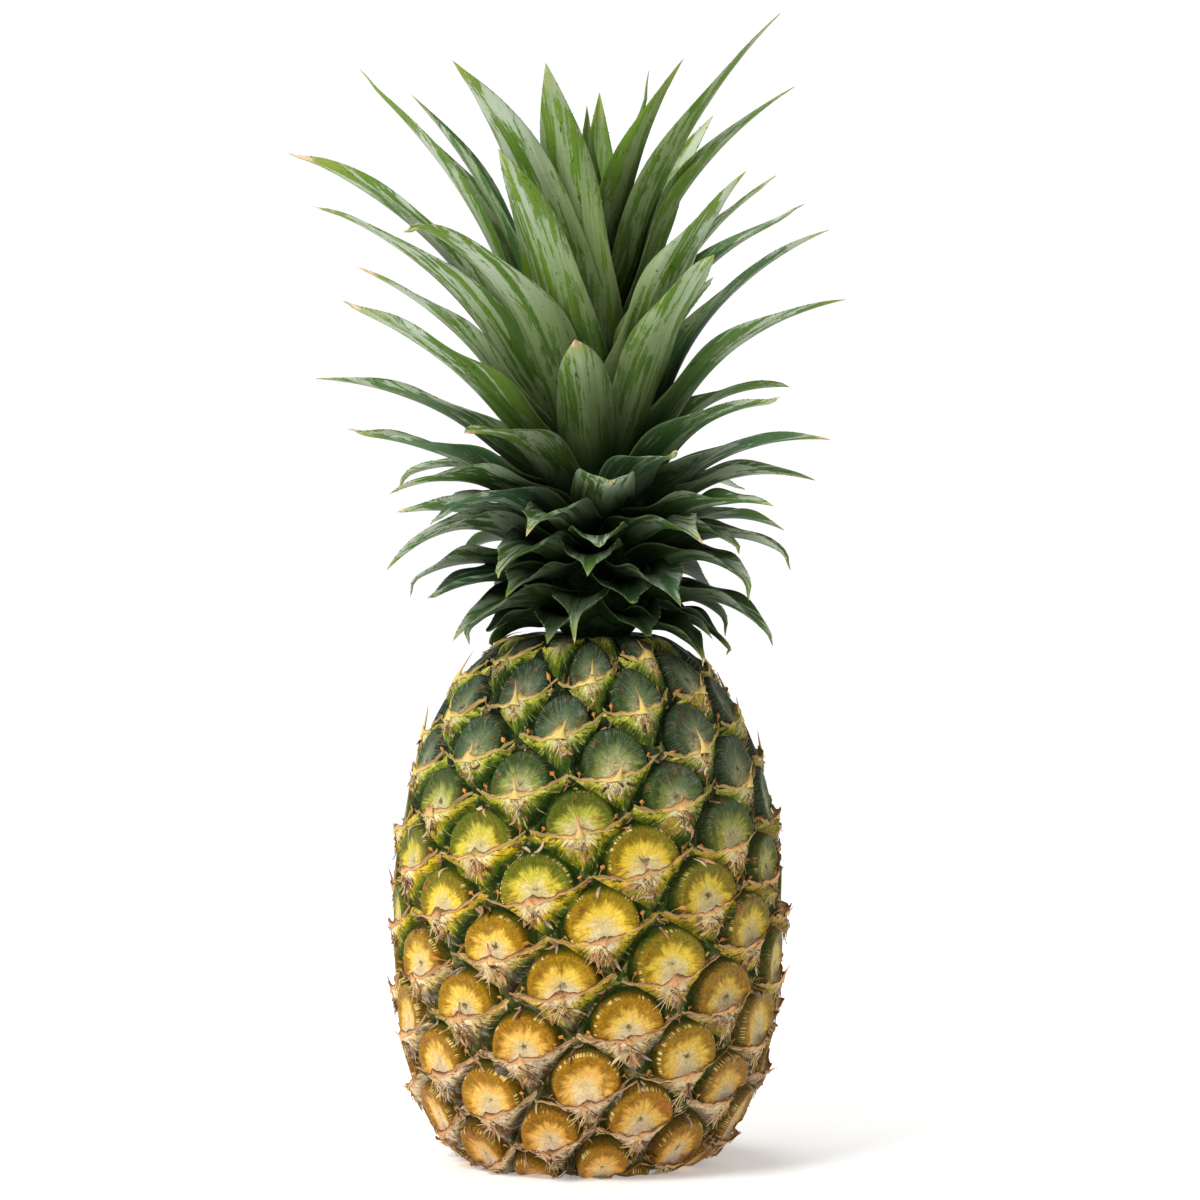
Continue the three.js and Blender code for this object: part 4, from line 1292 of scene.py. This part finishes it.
# %% The piece of all thorns
thorn_points = np.concatenate([edge_thorns(0, 0), edge_thorns(1, LEAF_COLUMNS - 1)])
thorn_faces = np.array([(0, 1, 2), (0, 2, 3), (0, 3, 1), (1, 3, 2)])
all_thorn_faces = (thorn_faces[None] + 4 * np.arange(len(thorn_points))[:, None, None]).reshape(-1, 3)
thorn = Recipe("leaf_thorn")
thorn_grain = thorn.noise(thorn.place(), 500.0, 2.0)
thorn_colour = thorn.ramp(thorn_grain, [(0.3, (0.06, 0.11, 0.02)), (0.6, (0.16, 0.20, 0.06))])
thorn.set(Base_Color=thorn_colour, Roughness=0.5)
thorn_corners = thorn_points.reshape(-1, 3)
leaf_thorns = make_piece(
    "leaf_thorns", thorn_corners, all_thorn_faces.tolist(), {}, thorn.material, smooth=False,
)

# %% [markdown]
# ## The stem inside the crown
# Between the lowest leaves the short stem shows as a dark green mass, coloured nearly black as
# painted shade deep in the crown. A profile turned round the axis is all it needs, with slow
# ripples where the leaf bases press on it.


# %% Turned pieces
def turned_piece(name, profile, sides, ripple, centre_x, material):
    """profile is a list of (radius, height), and ripple(angles, height) is added to the radius."""
    angles = np.linspace(0, 2 * math.pi, sides, endpoint=False)
    points, faces = [], []
    for r, z in profile:
        radius = r + ripple(angles, z) * min(1, r / 4)
        ring = [centre_x + radius * np.cos(angles), radius * np.sin(angles), np.full(sides, z)]
        points.append(np.stack(ring, axis=1))
    for start in range(0, (len(profile) - 1) * sides, sides):
        for k in range(sides):
            a, b = start + k, start + (k + 1) % sides
            faces.append([a, b, b + sides, a + sides])
    faces.append(list(range(sides))[::-1])
    faces.append(list(range((len(profile) - 1) * sides, len(profile) * sides)))
    return make_piece(name, np.vstack(points), faces, {}, material)


# %% The crown's stem
STEM_SHARE = 0.74
core = Recipe("crown_stem")
core_grain = core.noise(core.place(), 260.0, 4.0, 0.65)
# Painted shade: the stem's green is coloured nearly black, as it lies in the crown's shade.
stem_colour_and_shade = core.ramp(core_grain, [(0.35, (0.003, 0.007, 0.002)), (0.7, (0.018, 0.035, 0.008))])
core.set(Base_Color=stem_colour_and_shade, Roughness=0.8, Normal=core.bump(core_grain, 0.8, 0.002))
core.set(Specular_IOR_Level=0.05)
stem_line = curve_through(STEM - (0, 0.6), 5)
stem_line[:, 0] = np.maximum(stem_line[:, 0] * STEM_SHARE, 0.6)


def stem_ripple(angles, height):
    return 0.5 * np.sin(7 * angles + height / 3)


crown_stem = turned_piece("crown_stem", stem_line, 48, stem_ripple, CROWN_AXIS_X, core.material)

# %% [markdown]
# ## The cut stalk
# The fruit stands on the stub of its stalk, cut square. The cut shows a pale pith with darker
# bundles of fibre, and a browned rim. The solid's shape is right but coarse, so a rounder one
# takes its place.

# %% Cut stalk
STALK_PROFILE = [
    (2, 0), (8, 0), (12.6, 0.0), (13.5, 0.5), (13.9, 1.4), (14, 4), (13.9, 8.4), (6, 8.4), (1, 8.4),
]
stalk = Recipe("cut_stalk")
stalk_x, stalk_y, _ = stalk.apart(stalk.place())
bark = stalk.step(stalk.length_of(stalk_x, stalk_y), 0.0115, 0.0135)
bundles = stalk.noise(stalk.point(stalk_x, stalk_y), 900.0, 2.0)
pith = stalk.ramp(bundles, [
    (0.35, (0.60, 0.42, 0.20)), (0.5, (0.74, 0.58, 0.33)), (0.65, (0.36, 0.22, 0.09)),
])
stalk_colour = stalk.mix(bark, pith, (0.17, 0.11, 0.045))
stalk.set(Base_Color=stalk_colour, Roughness=0.85, Normal=stalk.bump(bundles, 0.6, 0.0006))


def stalk_ripple(angles, height):
    return 0.12 * np.sin(9 * angles) * (height > 0.1)


stalk_cut = turned_piece("stalk_cut", STALK_PROFILE, 64, stalk_ripple, 0.0, stalk.material)
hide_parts("stalk_end")

# %% [markdown]
# ## Floor, light and camera
# A fruit on a white table: one large soft light from the upper left in front, a weaker one from
# above and a little behind, and a bright surround. The shadow is soft and falls to the right.
# The camera stands almost level with the fruit and far off, with a long lens, as for a picture
# in a shop's catalogue.

# %% Floor
floor_material = Recipe("pale_floor")
floor_material.set(Base_Color=(0.93, 0.93, 0.93, 1), Roughness=0.7)
floor_material.set(Emission_Color=(1, 1, 1, 1), Emission_Strength=0.3)
floor_mesh = bpy.data.meshes.new("floor")
floor_mesh.from_pydata([(-2, -2.2, 0), (2, -2.2, 0), (2, 1.1, 0), (-2, 1.1, 0)], [], [(0, 1, 2, 3)])
floor_mesh.materials.append(floor_material.material)
floor = bpy.data.objects.new("floor", floor_mesh)
bpy.context.scene.collection.objects.link(floor)

# %% [markdown]
# The surround is white where the camera looks, near the horizon, and dimmer overhead. So the
# background stays white while the dark hollows between the leaves stay dark.

# %% Surround
world = bpy.data.worlds.new("surround")
world.use_nodes = True
background = world.node_tree.nodes["Background"]
directions = world.node_tree.nodes.new("ShaderNodeTexCoord")
split = world.node_tree.nodes.new("ShaderNodeSeparateXYZ")
fall_off = world.node_tree.nodes.new("ShaderNodeMapRange")
fall_off.interpolation_type = "SMOOTHSTEP"
for socket, value in zip(fall_off.inputs[1:5], (0.1, 0.35, 1.05, 0.38)):
    socket.default_value = value
world.node_tree.links.new(directions.outputs["Generated"], split.inputs[0])
world.node_tree.links.new(split.outputs[2], fall_off.inputs[0])
world.node_tree.links.new(fall_off.outputs[0], background.inputs[1])
background.inputs[0].default_value = (1, 1, 1, 1)
bpy.context.scene.world = world


# %% Lamps
def area_light(name, place, aim, size, power):
    data = bpy.data.lights.new(name, "AREA")
    data.shape = "DISK"
    data.size = size
    data.energy = power
    lamp = bpy.data.objects.new(name, data)
    lamp.location = place
    lamp.rotation_euler = (Vector(aim) - Vector(place)).to_track_quat("-Z", "Y").to_euler()
    bpy.context.scene.collection.objects.link(lamp)


area_light("key", (-1.0, -1.1, 1.35), (0, 0, 0.15), 0.8, 31)
area_light("top", (-0.2, 0.35, 1.5), (0, 0, 0.3), 0.8, 10)

# %% Camera
camera_data = bpy.data.cameras.new("camera")
camera_data.sensor_width = 36
camera_data.lens = 153.4
camera = bpy.data.objects.new("camera", camera_data)
elevation, camera_distance = math.radians(3), 1.7
target = Vector((0.0053, 0, 0.1875))
camera.location = target + camera_distance * Vector((0, -math.cos(elevation), math.sin(elevation)))
camera.rotation_euler = (target - camera.location).to_track_quat("-Z", "Y").to_euler()
bpy.context.scene.collection.objects.link(camera)
bpy.context.scene.camera = camera
bpy.context.scene.view_settings.view_transform = "Standard"
